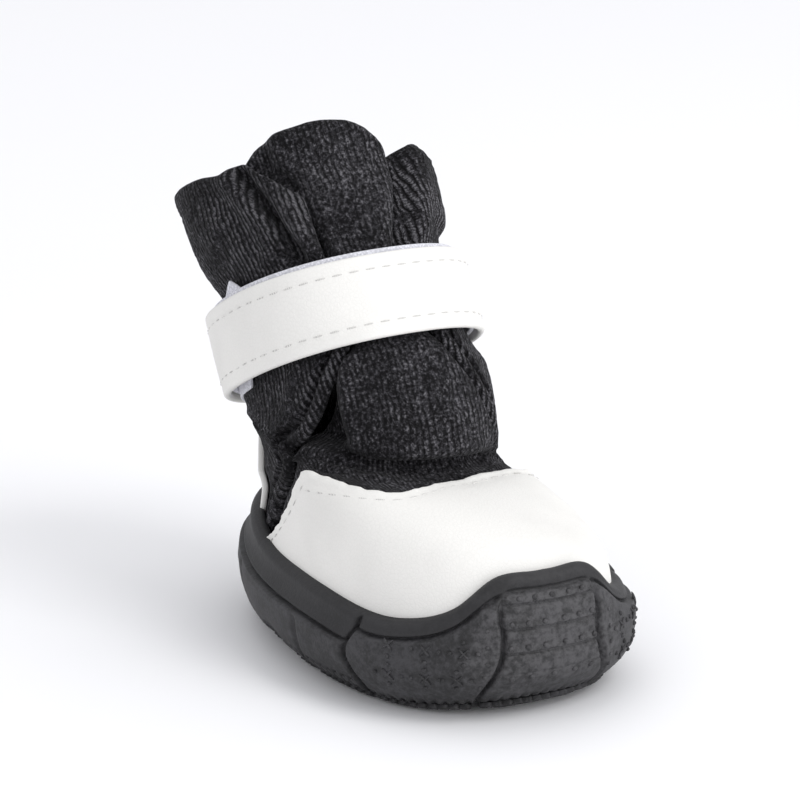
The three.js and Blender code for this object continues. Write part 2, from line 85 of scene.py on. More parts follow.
# Sections of the upper: front point (Y, Z), back point (Y, Z), half width, taper, squareness,
# tilt and sideways shift. They run from the lasting edge to above the collar.
SECTIONS = np.array([
    (-33.4, 4.8, 33.4, 4.8, 19.4, 0.11, 2.23, 0, 0),
    (-34.6, 8.5, 34.6, 8.5, 20.5, 0.11, 2.23, 0, 0),
    (-34.7, 15.0, 34.7, 14.5, 20.6, 0.11, 2.23, 0, 0),
    (-34.0, 19.4, 34.6, 17.5, 20.4, 0.11, 2.12, 0.02, -0.15),
    (-31.6, 22.6, 34.4, 20.6, 19.9, 0.10, 1.98, 0.07, -0.3),
    (-26.8, 24.6, 34.2, 23.8, 19.3, 0.08, 1.94, 0.12, -0.45),
    (-19.8, 25.8, 34.0, 26.8, 18.8, 0.06, 2.0, 0.15, -0.45),
    (-12.0, 26.4, 34.0, 29.0, 18.3, 0.04, 2.16, 0.16, -0.4),
    (-5.6, 26.6, 34.1, 30.4, 18.0, 0.02, 2.28, 0.15, -0.25),
    (-2.6, 27.8, 34.3, 31.0, 17.9, 0.0, 2.35, 0.12, -0.1),
    (-3.0, 31.2, 34.8, 31.6, 17.8, 0.0, 2.4, 0.06, 0),
    (-2.3, 36.8, 35.6, 32.2, 17.6, 0.0, 2.35, 0.02, 0),
    (1.4, 43.2, 37.2, 33.0, 17.2, 0.0, 2.3, 0.0, -0.1),
    (4.8, 48.0, 39.2, 34.8, 16.4, 0.0, 2.2, 0, -0.2),
    (8.4, 53.4, 41.8, 37.8, 15.7, 0.0, 2.15, 0, -0.3),
    (12.4, 58.8, 44.8, 42.4, 16.1, 0.0, 2.15, 0, -0.4),
    (16.6, 64.6, 48.8, 48.6, 18.2, -0.04, 2.3, 0, -0.6),
    (20.2, 69.4, 52.2, 54.2, 18.9, -0.06, 2.3, 0, -0.7),
    (22.8, 72.8, 54.2, 57.6, 19.1, -0.08, 2.3, 0, -0.8),
    (26.2, 78.4, 57.0, 63.0, 19.2, -0.08, 2.3, 0, -0.9),
])
COLLAR_LEVEL = 18.0             # the section that the collar's edge rises from
FOOT_LEVEL = 0.6                # where the knit ends, under the foot

# Rise of the collar's edge by the angle round from the front.
COLLAR = [(-180, 0.5), (-130, 1.5), (-104, 1.7), (-86, 1.6), (-70, 1.0), (-54, 1.4), (-43, -1.2),
          (0, -3.5), (20, -1.6), (32, -0.2), (46, 0.9), (60, 1.2), (80, 0.4), (110, 0.0),
          (180, 0.5)]
# Front edge of each quarter: level of the section and angle round from the front.
RIGHT_QUARTER_EDGE = [(0.6, -121), (2.0, -120), (2.8, -117), (4.2, -110), (5.2, -100), (6.1, -92),
                      (8.0, -82), (10.05, -71), (11.0, -61), (11.7, -50), (12.25, -42),
                      (12.9, -32), (14.0, -29), (15.1, -30), (15.75, -28), (16.45, -26.5),
                      (17.25, -28), (18.0, -39)]
LEFT_QUARTER_EDGE = [(0.6, 121), (2.0, 120), (2.8, 117), (4.2, 109), (5.2, 98), (6.1, 88),
                     (8.0, 74), (9.85, 46), (10.5, 41), (11.05, 36), (11.6, 30), (12.15, 23),
                     (12.9, 17), (14.0, 8), (15.25, 1), (15.8, 2), (16.55, 5), (17.3, 9),
                     (18.0, 13)]

# ---- plain maths ----------------------------------------------------------------------------


def signed_power(value, power):
    return np.sign(value) * np.abs(value) ** power


def smooth(low, high, x):
    t = np.clip((np.asarray(x, float) - low) / (high - low), 0, 1)
    return t * t * (3 - 2 * t)


def table(rows, at):
    """Smooth value between the rows of a two-column table."""
    rows = np.array(rows, float)
    x, y = rows[:, 0], rows[:, 1]
    slope = np.gradient(y, x)
    at = np.clip(np.asarray(at, float), x[0], x[-1])
    i = np.clip(np.searchsorted(x, at) - 1, 0, len(x) - 2)
    span = x[i + 1] - x[i]
    t = (at - x[i]) / span
    return ((2 * t**3 - 3 * t**2 + 1) * y[i] + (t**3 - 2 * t**2 + t) * span * slope[i]
            + (3 * t**2 - 2 * t**3) * y[i + 1] + (t**3 - t**2) * span * slope[i + 1])


def section_at(level):
    """Section values at a level between the rows, on a smooth curve."""
    level = np.clip(np.asarray(level, float), 0, len(SECTIONS) - 1)
    i = np.minimum(level.astype(int), len(SECTIONS) - 2)
    f = (level - i)[..., None]
    a, b, c, d = (SECTIONS[np.clip(i + k, 0, len(SECTIONS) - 1)] for k in (-1, 0, 1, 2))
    return 0.5 * (2 * b + (c - a) * f + (2 * a - 5 * b + 4 * c - d) * f * f
                  + (3 * b - a - 3 * c + d) * f**3)


def last_point(angle, level):
    """Point on the outside of the upper. Angle 0 is the toe, negative is the boot's own right."""
    angle, level = np.broadcast_arrays(np.radians(angle), level)
    s = section_at(level)
    power = 2 / s[..., 6]
    across = signed_power(np.sin(angle), power)
    along = signed_power(np.cos(angle), power)
    back = (1 - along) / 2
    x = s[..., 4] * across * (1 + s[..., 5] * along)
    return np.stack([x + s[..., 8], s[..., 0] + (s[..., 2] - s[..., 0]) * back,
                     s[..., 1] + (s[..., 3] - s[..., 1]) * back - s[..., 7] * x], -1)


def unit(v):
    return v / (np.linalg.norm(v, axis=-1, keepdims=True) + 1e-12)


def last_normal(angle, level):
    da = last_point(angle + 1.2, level) - last_point(angle - 1.2, level)
    dl = last_point(angle, np.minimum(level + 0.15, 19)) - last_point(angle, level - 0.15)
    return unit(np.cross(da, dl))


def outline_point(theta, inset):
    """Plan outline of the sole at an angle from the toe, in radians."""
    across = signed_power(np.sin(theta), 2 / OUTLINE_POWER)
    along = signed_power(np.cos(theta), 2 / OUTLINE_POWER)
    x = (SOLE_HALF[0] - inset) * across * (1 + BALL_FLARE * along)
    return np.stack([x, -(SOLE_HALF[1] - inset) * along], -1)


def rim_height(theta):
    return table(RIM, np.abs(np.degrees(np.angle(np.exp(1j * theta)))))


def run_along(points, axis=0):
    """Distance of each point from the first one of its line, along the line."""
    step = np.linalg.norm(np.diff(points, axis=axis), axis=-1)
    return np.concatenate([np.zeros_like(np.take(step, [0], axis)), np.cumsum(step, axis)], axis)


def near_path(points, path):
    """Distance of each point to a path, and how far along the path its nearest place is."""
    best = np.full(points.shape[:-1], 1e9)
    along = np.zeros(points.shape[:-1])
    run = 0.0
    for a, b in zip(path[:-1], path[1:]):
        ab = b - a
        t = np.clip(((points - a) @ ab) / (ab @ ab), 0, 1)
        d = np.linalg.norm(points - a - t[..., None] * ab, axis=-1)
        closer = d < best
        best = np.where(closer, d, best)
        along = np.where(closer, run + t * np.linalg.norm(ab), along)
        run += np.linalg.norm(ab)
    return best, along / run


def round_path(points, steps=6):
    """The same path through its points, rounded."""
    points = np.array(points, float)
    ends = np.vstack([2 * points[0] - points[1], points, 2 * points[-1] - points[-2]])
    out = []
    for a, b, c, d in zip(ends[:-3], ends[1:-2], ends[2:-1], ends[3:]):
        for f in np.arange(steps) / steps:
            out.append(0.5 * (2 * b + (c - a) * f + (2 * a - 5 * b + 4 * c - d) * f * f
                              + (3 * b - a - 3 * c + d) * f**3))
    return np.array(out + [points[-1]])


def creased(points, normals, creases):
    """Points moved along their normals by soft troughs and ridges.
    A crease is (angle and level places, depth, half width); a negative depth is a trough."""
    move = np.zeros(points.shape[:-1])
    for places, depth, half in creases:
        places = np.array(places, float)
        path = round_path(last_point(places[:, 0], places[:, 1]))
        d, along = near_path(points, path)
        ends = smooth(0, 0.16, along) * smooth(0, 0.16, 1 - along)
        move += depth * np.exp(-(d / half) ** 2) * (0.15 + 0.85 * ends)
    return points + normals * move[..., None]


def waves(points, seed, scale, octaves=2):
    """Soft seeded unevenness, about -1 to 1."""
    draw = np.random.default_rng(seed)
    total = np.zeros(points.shape[:-1])
    for k in range(octaves):
        for _ in range(5):
            direction = unit(draw.normal(size=3)) * (2 ** k) / scale
            phase = draw.uniform(0, 6.28)
            total += np.sin(points @ direction * 2 * math.pi + phase) / (2.2 * 1.8**k)
    return total / 2


# ---- meshes ---------------------------------------------------------------------------------
SURFACE_MAP = "Surface"         # ribs and millimetres on the knit, the share of lip on the sole


def grid_faces(rows, columns, start=0, loop=False, flip=False):
    faces = []
    wide = columns if loop else columns - 1
    for r in range(rows - 1):
        for c in range(wide):
            a = start + r * columns + c
            b = start + r * columns + (c + 1) % columns
            face = (a, b, b + columns, a + columns)
            faces.append(face[::-1] if flip else face)
    return faces


def linked(name, mesh):
    obj = bpy.data.objects.new(name, mesh)
    bpy.context.scene.collection.objects.link(obj)
    return obj


def mesh_object(name, points, faces, material, uvs=None):
    """An object in metres from points in millimetres, its doubled points merged."""
    mesh = bpy.data.meshes.new(name)
    mesh.from_pydata((np.asarray(points).reshape(-1, 3) * MM).tolist(), [], faces)
    if uvs is not None:
        layer = mesh.uv_layers.new(name=SURFACE_MAP)
        flat = np.asarray(uvs, float).reshape(-1, 2)
        corner = np.zeros(len(mesh.loops), np.int32)
        mesh.loops.foreach_get("vertex_index", corner)
        layer.data.foreach_set("uv", flat[corner].ravel())
    bm = bmesh.new()
    bm.from_mesh(mesh)
    bmesh.ops.remove_doubles(bm, verts=bm.verts, dist=2e-6)
    bmesh.ops.dissolve_degenerate(bm, dist=1e-6, edges=bm.edges)
    bm.to_mesh(mesh)
    bm.free()
    mesh.polygons.foreach_set("use_smooth", [True] * len(mesh.polygons))
    mesh.materials.append(material)
    return linked(name, mesh)


def edge_steps(length, thickness, step, fine=6, band=5.0, band_step=0.5):
    """Distances from one edge to the other: close together at the rounded edges."""
    r = thickness / 2
    near = [r * (1 - math.cos(math.pi / 2 * k / fine)) for k in range(fine)]
    near += list(np.arange(r, min(band, length / 2 - step), band_step))
    middle_from = near[-1]
    count = max(2, int((length - 2 * middle_from) / step))
    middle = np.linspace(middle_from, length - middle_from, count + 1)[1:-1]
    return np.concatenate([near, middle, length - np.array(near[::-1])]) / length


def sheet_points(middle, normal, thickness, bead=0.0, bead_at=1.6, uncut=()):
    """Outer and inner points of a sheet with rounded edges, from a grid on its middle.
    bead thickens it along its edges; uncut names grid sides that keep their full thickness."""
    left, low = run_along(middle, 1), run_along(middle)
    sides = {"left": left, "right": left[:, -1:] - left, "low": low, "high": low[-1:] - low}
    edge = np.minimum.reduce([d for k, d in sides.items() if k not in uncut])
    r = thickness / 2
    share = np.clip(edge / r, 0, 1)
    half = r * np.sqrt(np.clip(1 - (1 - share) ** 2, 0, 1))
    half = half * (1 + bead * np.exp(-((edge - bead_at) / (0.7 * bead_at)) ** 2))
    return middle + normal * half[..., None], middle - normal * half[..., None], edge


def grid_normals(grid, loop=False):
    if loop:
        across = np.roll(grid, -1, 1) - np.roll(grid, 1, 1)
    else:
        across = np.gradient(grid, axis=1)
    return unit(np.cross(across, np.gradient(grid, axis=0)))


def sheet_object(name, outer, inner, material, uvs=None):
    rows, columns = outer.shape[:2]
    points = np.concatenate([outer.reshape(-1, 3), inner.reshape(-1, 3)])
    faces = grid_faces(rows, columns) + grid_faces(rows, columns, rows * columns, flip=True)
    rim = ([r * columns for r in range(rows)], [r * columns + columns - 1 for r in range(rows)],
           list(range(columns)), [(rows - 1) * columns + c for c in range(columns)])
    far = rows * columns
    for k, line in enumerate(rim):
        for a, b in zip(line[:-1], line[1:]):
            if np.linalg.norm(points[a] - points[far + a]) + np.linalg.norm(
                    points[b] - points[far + b]) > 0.01:
                face = (a, far + a, far + b, b)
                faces.append(face if k in (1, 2) else face[::-1])
    both = None if uvs is None else np.concatenate([uvs.reshape(-1, 2)] * 2)
    obj = mesh_object(name, points, faces, material, both)
    bm = bmesh.new()
    bm.from_mesh(obj.data)
    bmesh.ops.recalc_face_normals(bm, faces=bm.faces)
    bm.to_mesh(obj.data)
    bm.free()
    return obj


# ---- materials ------------------------------------------------------------------------------


class Value:
    """A node's output socket that can be used in an expression."""

    def __init__(self, maker, socket):
        self.maker = maker
        self.socket = socket

    def maths(self, operation, *others):
        return self.maker.node("ShaderNodeMath", {"operation": operation},
                               {i: v for i, v in enumerate((self, *others))})

    def __add__(self, other): return self.maths("ADD", other)
    def __sub__(self, other): return self.maths("SUBTRACT", other)
    def __mul__(self, other): return self.maths("MULTIPLY", other)
    def __pow__(self, other): return self.maths("POWER", other)
    def __radd__(self, other): return self.maths("ADD", other)
    def __rmul__(self, other): return self.maths("MULTIPLY", other)
    def __neg__(self): return self.maths("MULTIPLY", -1.0)
    def __rsub__(self, other): return (-self).maths("ADD", other)
    def abs(self): return self.maths("ABSOLUTE")
    def fract(self): return self.maths("FRACT")

    def step(self, low, high):
        """0 below low, 1 above high, smooth between."""
        return self.maker.node("ShaderNodeMapRange", {"interpolation_type": "SMOOTHSTEP"},
                               {"Value": self, "From Min": low, "From Max": high})


class Finish:
    """A material and the one place that adds its nodes."""

    def __init__(self, name, **shader):
        self.material = bpy.data.materials.new(name)
        self.material.use_nodes = True
        self.tree = self.material.node_tree
        self.shader = self.tree.nodes["Principled BSDF"]
        for key, value in shader.items():
            self.shader.inputs[key.replace("_", " ")].default_value = value

    def node(self, kind, settings=None, values=None, output=0):
        """A node of a type, its settings first, then the values or links of its sockets."""
        node = self.tree.nodes.new(kind)
        for key, value in (settings or {}).items():
            setattr(node, key, value)
        for key, value in (values or {}).items():
            if isinstance(value, Value):
                self.tree.links.new(value.socket, node.inputs[key])
            else:
                node.inputs[key].default_value = value
        return Value(self, node.outputs[output])

    def place(self):
        """Object coordinates, in metres."""
        return self.node("ShaderNodeTexCoord", output="Object")

    def split(self, vector):
        parts = self.node("ShaderNodeSeparateXYZ", {}, {0: vector})
        return [Value(self, s) for s in parts.socket.node.outputs]

    def noise(self, vector, scale, detail=3.0, roughness=0.55):
        return self.node("ShaderNodeTexNoise", {},
                         {"Vector": vector, "Scale": scale, "Detail": detail,
                          "Roughness": roughness})

    def blend(self, factor, first, second):
        """Two colours mixed by a factor."""
        first, second = (c if isinstance(c, Value) else (*c, 1) for c in (first, second))
        return self.node("ShaderNodeMix", {"data_type": "RGBA"},
                         {0: factor, 6: first, 7: second}, 2)

    def feed(self, **links):
        for key, value in links.items():
            self.tree.links.new(value.socket, self.shader.inputs[key.replace("_", " ")])

    def bump(self, height, distance, strength=1.0, under=None):
        values = {"Height": height, "Distance": distance, "Strength": strength}
        if under is not None:
            values["Normal"] = under
        return self.node("ShaderNodeBump", {}, values)


def linear(colour):
    """Linear colour from the 0 to 1 values of a colour picker."""
    return tuple(c / 12.92 if c <= 0.04045 else ((c + 0.055) / 1.055) ** 2.4 for c in colour)


def knit_finish(name, colours, ribs):
    """Brushed rib knit. The surface map counts ribs across and millimetres along. Every rib is
    a chain of short slanting stitches under a fleece of light and dark fibres."""
    f = Finish(name, Roughness=0.95, Specular_IOR_Level=0.12, Sheen_Weight=0.05,
               Sheen_Roughness=0.5)
    place = f.place()
    uv = f.node("ShaderNodeUVMap", {"uv_map": SURFACE_MAP})
    rib, run, _ = f.split(uv)
    warp = f.noise(place, 420.0, 2.0)
    drift = f.noise(place, 90.0, 2.0)
    rib = rib + (warp - 0.5) * 0.9 + (drift - 0.5) * 1.6
    side = rib.fract() - 0.5
    rib_body = 1.0 - (side.abs() * 2.0) ** 1.8
    chain = run * (1 / STITCH_HEIGHT) + side * 1.3 + (warp - 0.5) * 1.2
    along = (chain.fract() * 2.0 - 1.0).abs()
    loop = rib_body * (1.0 - along * along)
    fine = f.noise(place, 2300.0, 2.0, 0.7)
    speck = f.noise(place, 1300.0, 2.0, 0.6)
    wide = f.noise(place, 75.0, 3.0)
    calm = ribs * f.noise(place, 150.0, 2.0).step(0.34, 0.6)
    dark, light, bright = colours
    fleck = fine * 0.75 + speck * 0.5 + (wide - 0.5) * 0.35
    # painted shade and light: the valleys between the ribs and stitches get more dark yarn, their
    # crests more light yarn
    share = fleck + (rib_body - 0.6) * calm * 0.34 + (loop - 0.4) * calm * 0.14
    base = f.blend(share.step(0.54, 0.78), dark, light)
    base = f.blend(share.step(0.72, 0.86) * 0.8, base, bright)
    f.feed(Base_Color=base)
    fuzz = f.bump(fine * 0.6 + speck * 0.6, 0.00030, 0.85)
    f.feed(Normal=f.bump((rib_body * 0.6 + loop * 0.4) * (0.25 + calm), 0.00038, 0.9, fuzz))
    return f.material


def leather_finish(name, colour):
    """Smooth coated leather with a faint grain, a little greyer in the grain and at random."""
    f = Finish(name, Roughness=0.6, Specular_IOR_Level=0.25)
    place = f.place()
    grain = f.node("ShaderNodeTexVoronoi", {"feature": "DISTANCE_TO_EDGE"},
                   {"Vector": place, "Scale": 1500.0, "Randomness": 0.9})
    fine = f.noise(place, 900.0, 3.0)
    cloud = f.noise(place, 45.0, 3.0)
    dull = linear(tuple(c * 0.95 for c in colour))
    base = f.blend(cloud.step(0.42, 0.72) * 0.6, linear(colour), dull)
    base = f.blend((1.0 - grain.step(0.0, 0.12)) * 0.10, base, linear((0.8, 0.8, 0.78)))
    f.feed(Base_Color=base, Roughness=0.56 + cloud * 0.16)
    f.feed(Normal=f.bump(grain.step(0.0, 0.2) * 0.4 + fine * 0.6, 0.00006, 0.55))
    return f.material


def rubber_finish(name, colour):
    """Matte moulded rubber: mottled, with a fine mould grain, painted light that makes the front
    face of the toe paler, pale scuffs low on the sides and a smooth dark lip, whose share the
    surface map gives."""
    f = Finish(name, Roughness=0.62, Specular_IOR_Level=0.42)
    place = f.place()
    fine = f.noise(place, 2600.0, 2.0, 0.6)
    grain = f.noise(place, 1000.0, 3.0, 0.65)
    mid = f.noise(place, 330.0, 3.0, 0.6)
    cloud = f.noise(place, 60.0, 4.0, 0.6)
    mottle = grain * 0.7 + fine * 0.35 + (cloud - 0.5) * 0.5 + (mid - 0.5) * 0.4
    mottle = mottle.step(0.36, 0.70)
    base = f.blend(mottle, linear(tuple(c * 0.68 for c in colour)),
                   linear(tuple(min(1, c * 1.34) for c in colour)))
    _, length, height = f.split(place)
    # painted light: the front face of the toe, above its foot, is made paler where the front lamp
    # falls on it
    toe = (-0.036 - length + (mid - 0.5) * 0.006).step(-0.002, 0.002)
    toe_painted_light = toe * height.step(0.004, 0.009)
    base = f.blend(toe_painted_light * grain.step(0.30, 0.65) * 0.30, base, linear((0.40, 0.395, 0.40)))
    scuff = (f.noise(place, 240.0, 4.0, 0.7) + (0.006 - height) * 12.0).step(0.58, 0.74)
    base = f.blend(scuff * 0.10, base, linear((0.5, 0.49, 0.49)))
    lip, _, _ = f.split(f.node("ShaderNodeUVMap", {"uv_map": SURFACE_MAP}))
    base = f.blend(lip * 0.75, base, linear(tuple(c * 0.74 for c in colour)))
    f.feed(Base_Color=base, Roughness=0.50 + grain * 0.24)
    f.feed(Normal=f.bump(fine * 0.5 + grain * 0.6, 0.00012, 0.75))
    return f.material


def tape_finish(name, colour, loop=True):
    """Woven hook-and-loop tape: a close field of small loops, with painted shade darkening the
    colour between them.
    """
    f = Finish(name, Roughness=0.9, Specular_IOR_Level=0.2, Sheen_Weight=0.2)
    place = f.place()
    cell = f.node("ShaderNodeTexVoronoi", {},
                  {"Vector": place, "Scale": 2600.0 if loop else 1500.0})
    fine = f.noise(place, 1800.0, 2.0)
    # painted shade: the colour darkens away from the loops' tops, in the low places between them
    base = f.blend(cell.step(0.1, 0.75), linear(colour), linear(tuple(c * 0.86 for c in colour)))
    f.feed(Base_Color=base)
    f.feed(Normal=f.bump((1.0 - cell) * 0.7 + fine * 0.5, 0.0002, 0.8))
    return f.material


def thread_finish(name, colour):
    """Twisted thread."""
    f = Finish(name, Roughness=0.7, Specular_IOR_Level=0.3, Sheen_Weight=0.1)
    twist = f.node("ShaderNodeTexWave", {},
                   {"Vector": f.place(), "Scale": 1400.0, "Distortion": 3.0})
    f.feed(Base_Color=f.blend(twist, linear(colour), linear(tuple(c * 0.8 for c in colour))),
           Normal=f.bump(twist, 0.00005, 0.5))
    return f.material


def floor_finish(name, colour):
    """Plain floor, hardly clouded."""
    f = Finish(name, Roughness=0.75, Specular_IOR_Level=0.2)
    cloud = f.noise(f.place(), 6.0, 2.0)
    f.feed(Base_Color=f.blend(cloud, linear(colour), linear(tuple(c * 0.992 for c in colour))))
    return f.material


# ---- settings a user may change -------------------------------------------------------------


class BootColours(bpy.types.PropertyGroup):
    rubber: bpy.props.FloatVectorProperty(
        name="Rubber", description="Colour of the sole", subtype="COLOR", size=3,
        min=0, max=1, default=(0.172, 0.170, 0.178))
    knit_dark: bpy.props.FloatVectorProperty(
        name="Knit, dark yarn", description="Colour between the flecks", subtype="COLOR",
        size=3, min=0, max=1, default=(0.060, 0.057, 0.064))
    knit_light: bpy.props.FloatVectorProperty(
        name="Knit, light yarn", description="Colour of the flecks", subtype="COLOR",
        size=3, min=0, max=1, default=(0.232, 0.228, 0.242))
    leather: bpy.props.FloatVectorProperty(
        name="Leather", description="Colour of the cap, heel patch and strap", subtype="COLOR",
        size=3, min=0, max=1, default=(0.925, 0.92, 0.905))
    tape: bpy.props.FloatVectorProperty(
        name="Tape", description="Colour of the hook and loop tape", subtype="COLOR",
        size=3, min=0, max=1, default=(0.93, 0.93, 0.96))


class BootSizes(bpy.types.PropertyGroup):
    stitch_pitch: bpy.props.FloatProperty(
        name="Stitch pitch", description="From one stitch to the next", unit="LENGTH",
        default=0.0026, min=0.001, max=0.01)
    stitch_inset: bpy.props.FloatProperty(
        name="Stitch inset", description="From an edge of the leather to its stitches",
        unit="LENGTH", default=0.0024, min=0.0005, max=0.004)
    tooth_pitch: bpy.props.FloatProperty(
        name="Tooth pitch", description="Between the small teeth round the foot of the sole",
        unit="LENGTH", default=0.0019, min=0.001, max=0.005)
    cap_thickness: bpy.props.FloatProperty(
        name="Leather thickness", description="Thickness of the cap and heel patch",
        unit="LENGTH", default=0.001, min=0.0005, max=0.002)


# ---- sole -----------------------------------------------------------------------------------
COLUMNS = 760                   # of the sole's mesh, round the outline
OUTLINE_STEPS = 6000
BUMPER_TOP_LINE = 2.3           # below the rim
SIDE_BAND = 5.0                 # height of the smooth band behind the side groove
FRONT_BAND = 2.5                # and in front of it
BUMPER_LINES = (18.4, 14.8, 11.2)
TREAD_PLATE = 1.5               # height of the rubber between the lugs
LUG_HEIGHT = 1.45
TREAD_HALF_INSET = 5.6          # from the outline to the outer ends of the lugs
CENTRE_LUG = 7.3                # half the width of the middle lugs
SIDE_LUG = 9.5                  # where the lugs beside them start
TREAD_BANDS = [(-33.6, -28.1), (-25.9, -21.1), (-18.9, -14.1), (-11.9, -7.5), (-5.3, 1.6),
               (11.6, 13.5), (15.7, 19.9), (22.1, 26.3), (28.5, 33.4)]
# Blocks round the foot: height, width, length upwards, how far they stand out, and the angle
# from the toe that the row starts at.
TOOTH_ROWS = [(0.9, 1.3, 1.9, 0.50, 0), (3.4, 1.2, 1.3, 0.30, 62)]
MM_PER_DEGREE = 0.57            # round the outline
# Marks of the side panels and the bumper: length, width and how far they stand out.
CROSS_BAR = (2.5, 0.42, 0.42)
PANEL_DOT = (0.8, 0.8, 0.48)
GROOVE_DOT = (0.7, 0.7, 0.32)
BUMPER_DOT = (0.95, 0.95, 0.46)
CROSS_HEIGHTS = (11.6, 6.9)
CROSS_ANGLES = (26.5, 38.0, 49.5)
BUMPER_DOTS = [(19.3, 5, 9.5), (15.7, 6, 12), (12.1, 6, 12.5), (6.6, 5, 12)]  # height, count, half
# Upright grooves of the sidewall: height and angle round from the toe.
SIDE_GROOVE = [(0, 60), (4, 61), (6, 63.5), (8.5, 65), (10.5, 63.6), (12, 61.8), (14, 61),
               (20, 61)]
BUMPER_GROOVE = [(0, 23), (2.5, 21.5), (4, 20), (8, 16.6), (11, 14.8), (14, 14.4), (17, 15.2),
                 (19.5, 14.0), (22, 11)]


def even_angles(count):
    """Angles that are an even distance apart round the outline, and those distances."""
    fine = np.linspace(-math.pi, math.pi, OUTLINE_STEPS + 1)
    run = run_along(outline_point(fine, 0.0))
    at = np.linspace(0, run[-1], count + 1)[:-1]
    return np.interp(at, run, fine), at - run[OUTLINE_STEPS // 2]


def spring(y):
    """Lift of the tread: toe spring, arch and heel."""
    return (2.6 * (np.clip(-21 - y, 0, None) / 19) ** 2 + 1.6 * (np.clip(y - 27, 0, None) / 13) ** 2
            + 0.9 * np.sin(math.pi * np.clip((y - 2) / 9, 0, 1)))


def side_relief(theta, run, z, rim):
    """How far the moulded relief of the sidewall stands out, in millimetres."""
    turn = np.abs(np.degrees(theta))
    below = rim - z
    from_groove = (turn - table(SIDE_GROOVE, z)) * MM_PER_DEGREE
    from_bumper = (turn - table(BUMPER_GROOVE, z)) * MM_PER_DEGREE

    def line(distance, width):
        return np.exp(-(distance / width) ** 2)

    behind = smooth(-0.3, 0.3, from_groove)
    front = 1 - behind
    relief = 0.36 * line(below - 0.8, 0.7)
    # the band behind the side groove, hollowed, with a fine line in it
    step = smooth(SIDE_BAND - 0.25, SIDE_BAND + 0.1, below)
    relief += behind * (0.60 * step - 0.70 * line(below - SIDE_BAND + 0.25, 0.22)
                        - 0.30 * line(below - 2.8, 1.1) + 0.12 * line(below - 4.1, 0.2))
    # the lip in front of it, and the rounded side panel below
    side = front * smooth(0.2, 1.0, from_bumper)
    step = smooth(FRONT_BAND - 0.1, FRONT_BAND + 0.5, below)
    relief += side * (0.60 * step - 0.80 * line(below - FRONT_BAND, 0.24)
                      + 0.12 * line(below - FRONT_BAND + 0.55, 0.3))
    relief -= side * 0.30 * line(np.minimum(np.abs(from_groove), 9), 1.5)
    # the toe bumper with its lines
    toe = smooth(0.2, -0.3, from_bumper)
    inside = toe * smooth(BUMPER_TOP_LINE - 0.1, BUMPER_TOP_LINE + 0.3, below)
    relief += 0.40 * inside - toe * 0.85 * line(below - BUMPER_TOP_LINE, 0.22)
    for height in BUMPER_LINES:
        relief -= inside * 0.62 * line(z - height, 0.19)
        relief += inside * 0.16 * line(z - height - 0.5, 0.3)
    relief -= inside * 0.15 * line(z - 7.6, 0.2)
    # upright grooves
    above_foot = smooth(rim - 0.2, rim - 1.4, z)
    relief -= above_foot * 1.15 * line(from_groove, 0.36) * smooth(0.1, 0.7, below)
    relief -= 1.05 * smooth(19.5, 15.0, z) * line(from_bumper, 0.38)
    under_band = smooth(SIDE_BAND, SIDE_BAND + 1, below)
    relief -= 0.4 * line((turn - 84) * MM_PER_DEGREE, 0.5) * under_band
    relief -= 0.3 * line((turn - 118) * MM_PER_DEGREE, 0.7) * under_band
    # teeth round the foot
    pitch = bpy.context.scene.boot_sizes.tooth_pitch / MM
    notch = (0.5 + 0.5 * np.cos(2 * math.pi * run / pitch)) ** 1.5
    reach = np.where(turn > 60, 4.7, 3.0)
    relief -= 0.75 * notch * smooth(reach, reach - 1.5, z)
    return relief


def sidewall_inset(z, rim):
    """Distance of the sidewall from the sole's widest line, without its relief."""
    belt = SIDEWALL[-1][0]
    share = np.clip((z - belt) / (rim - belt), 0, 1)
    upper = table([(0, 0), (0.45, 0.5), (0.86, 1.8), (1, 2.5)], share)
    return np.where(z < belt, table(SIDEWALL, z), upper)


def sidewall_point(angle, z, out=0.0):
    """Point on the finished sidewall and the direction straight out of it."""
    theta, run = even_angles(COLUMNS)
    angle = np.radians(np.asarray(angle, float))
    s = np.interp(angle, theta, run)
    rim = rim_height(angle)
    relief = side_relief(angle, s, z, rim)
    p = outline_point(angle, sidewall_inset(z, rim) - relief - out)
    ahead = outline_point(angle + 0.01, sidewall_inset(z, rim))
    behind = outline_point(angle - 0.01, sidewall_inset(z, rim))
    t = unit(ahead - behind)
    slope = (sidewall_inset(z + 0.3, rim) - sidewall_inset(z - 0.3, rim)) / 0.6
    out_way = unit(np.stack([t[..., 1], -t[..., 0], slope], -1))
    lift = spring(p[..., 1]) * smooth(10, 1.5, z)
    return np.stack([p[..., 0], p[..., 1], z + lift], -1), out_way


def lip_share(theta, z, rim):
    """One on the smooth lip of the rim, nothing on the panels below it."""
    turn = np.abs(np.degrees(theta))
    depth = np.where(turn > table(SIDE_GROOVE, z), SIDE_BAND, FRONT_BAND)
    return smooth(depth + 0.1, depth - 0.3, rim - z)


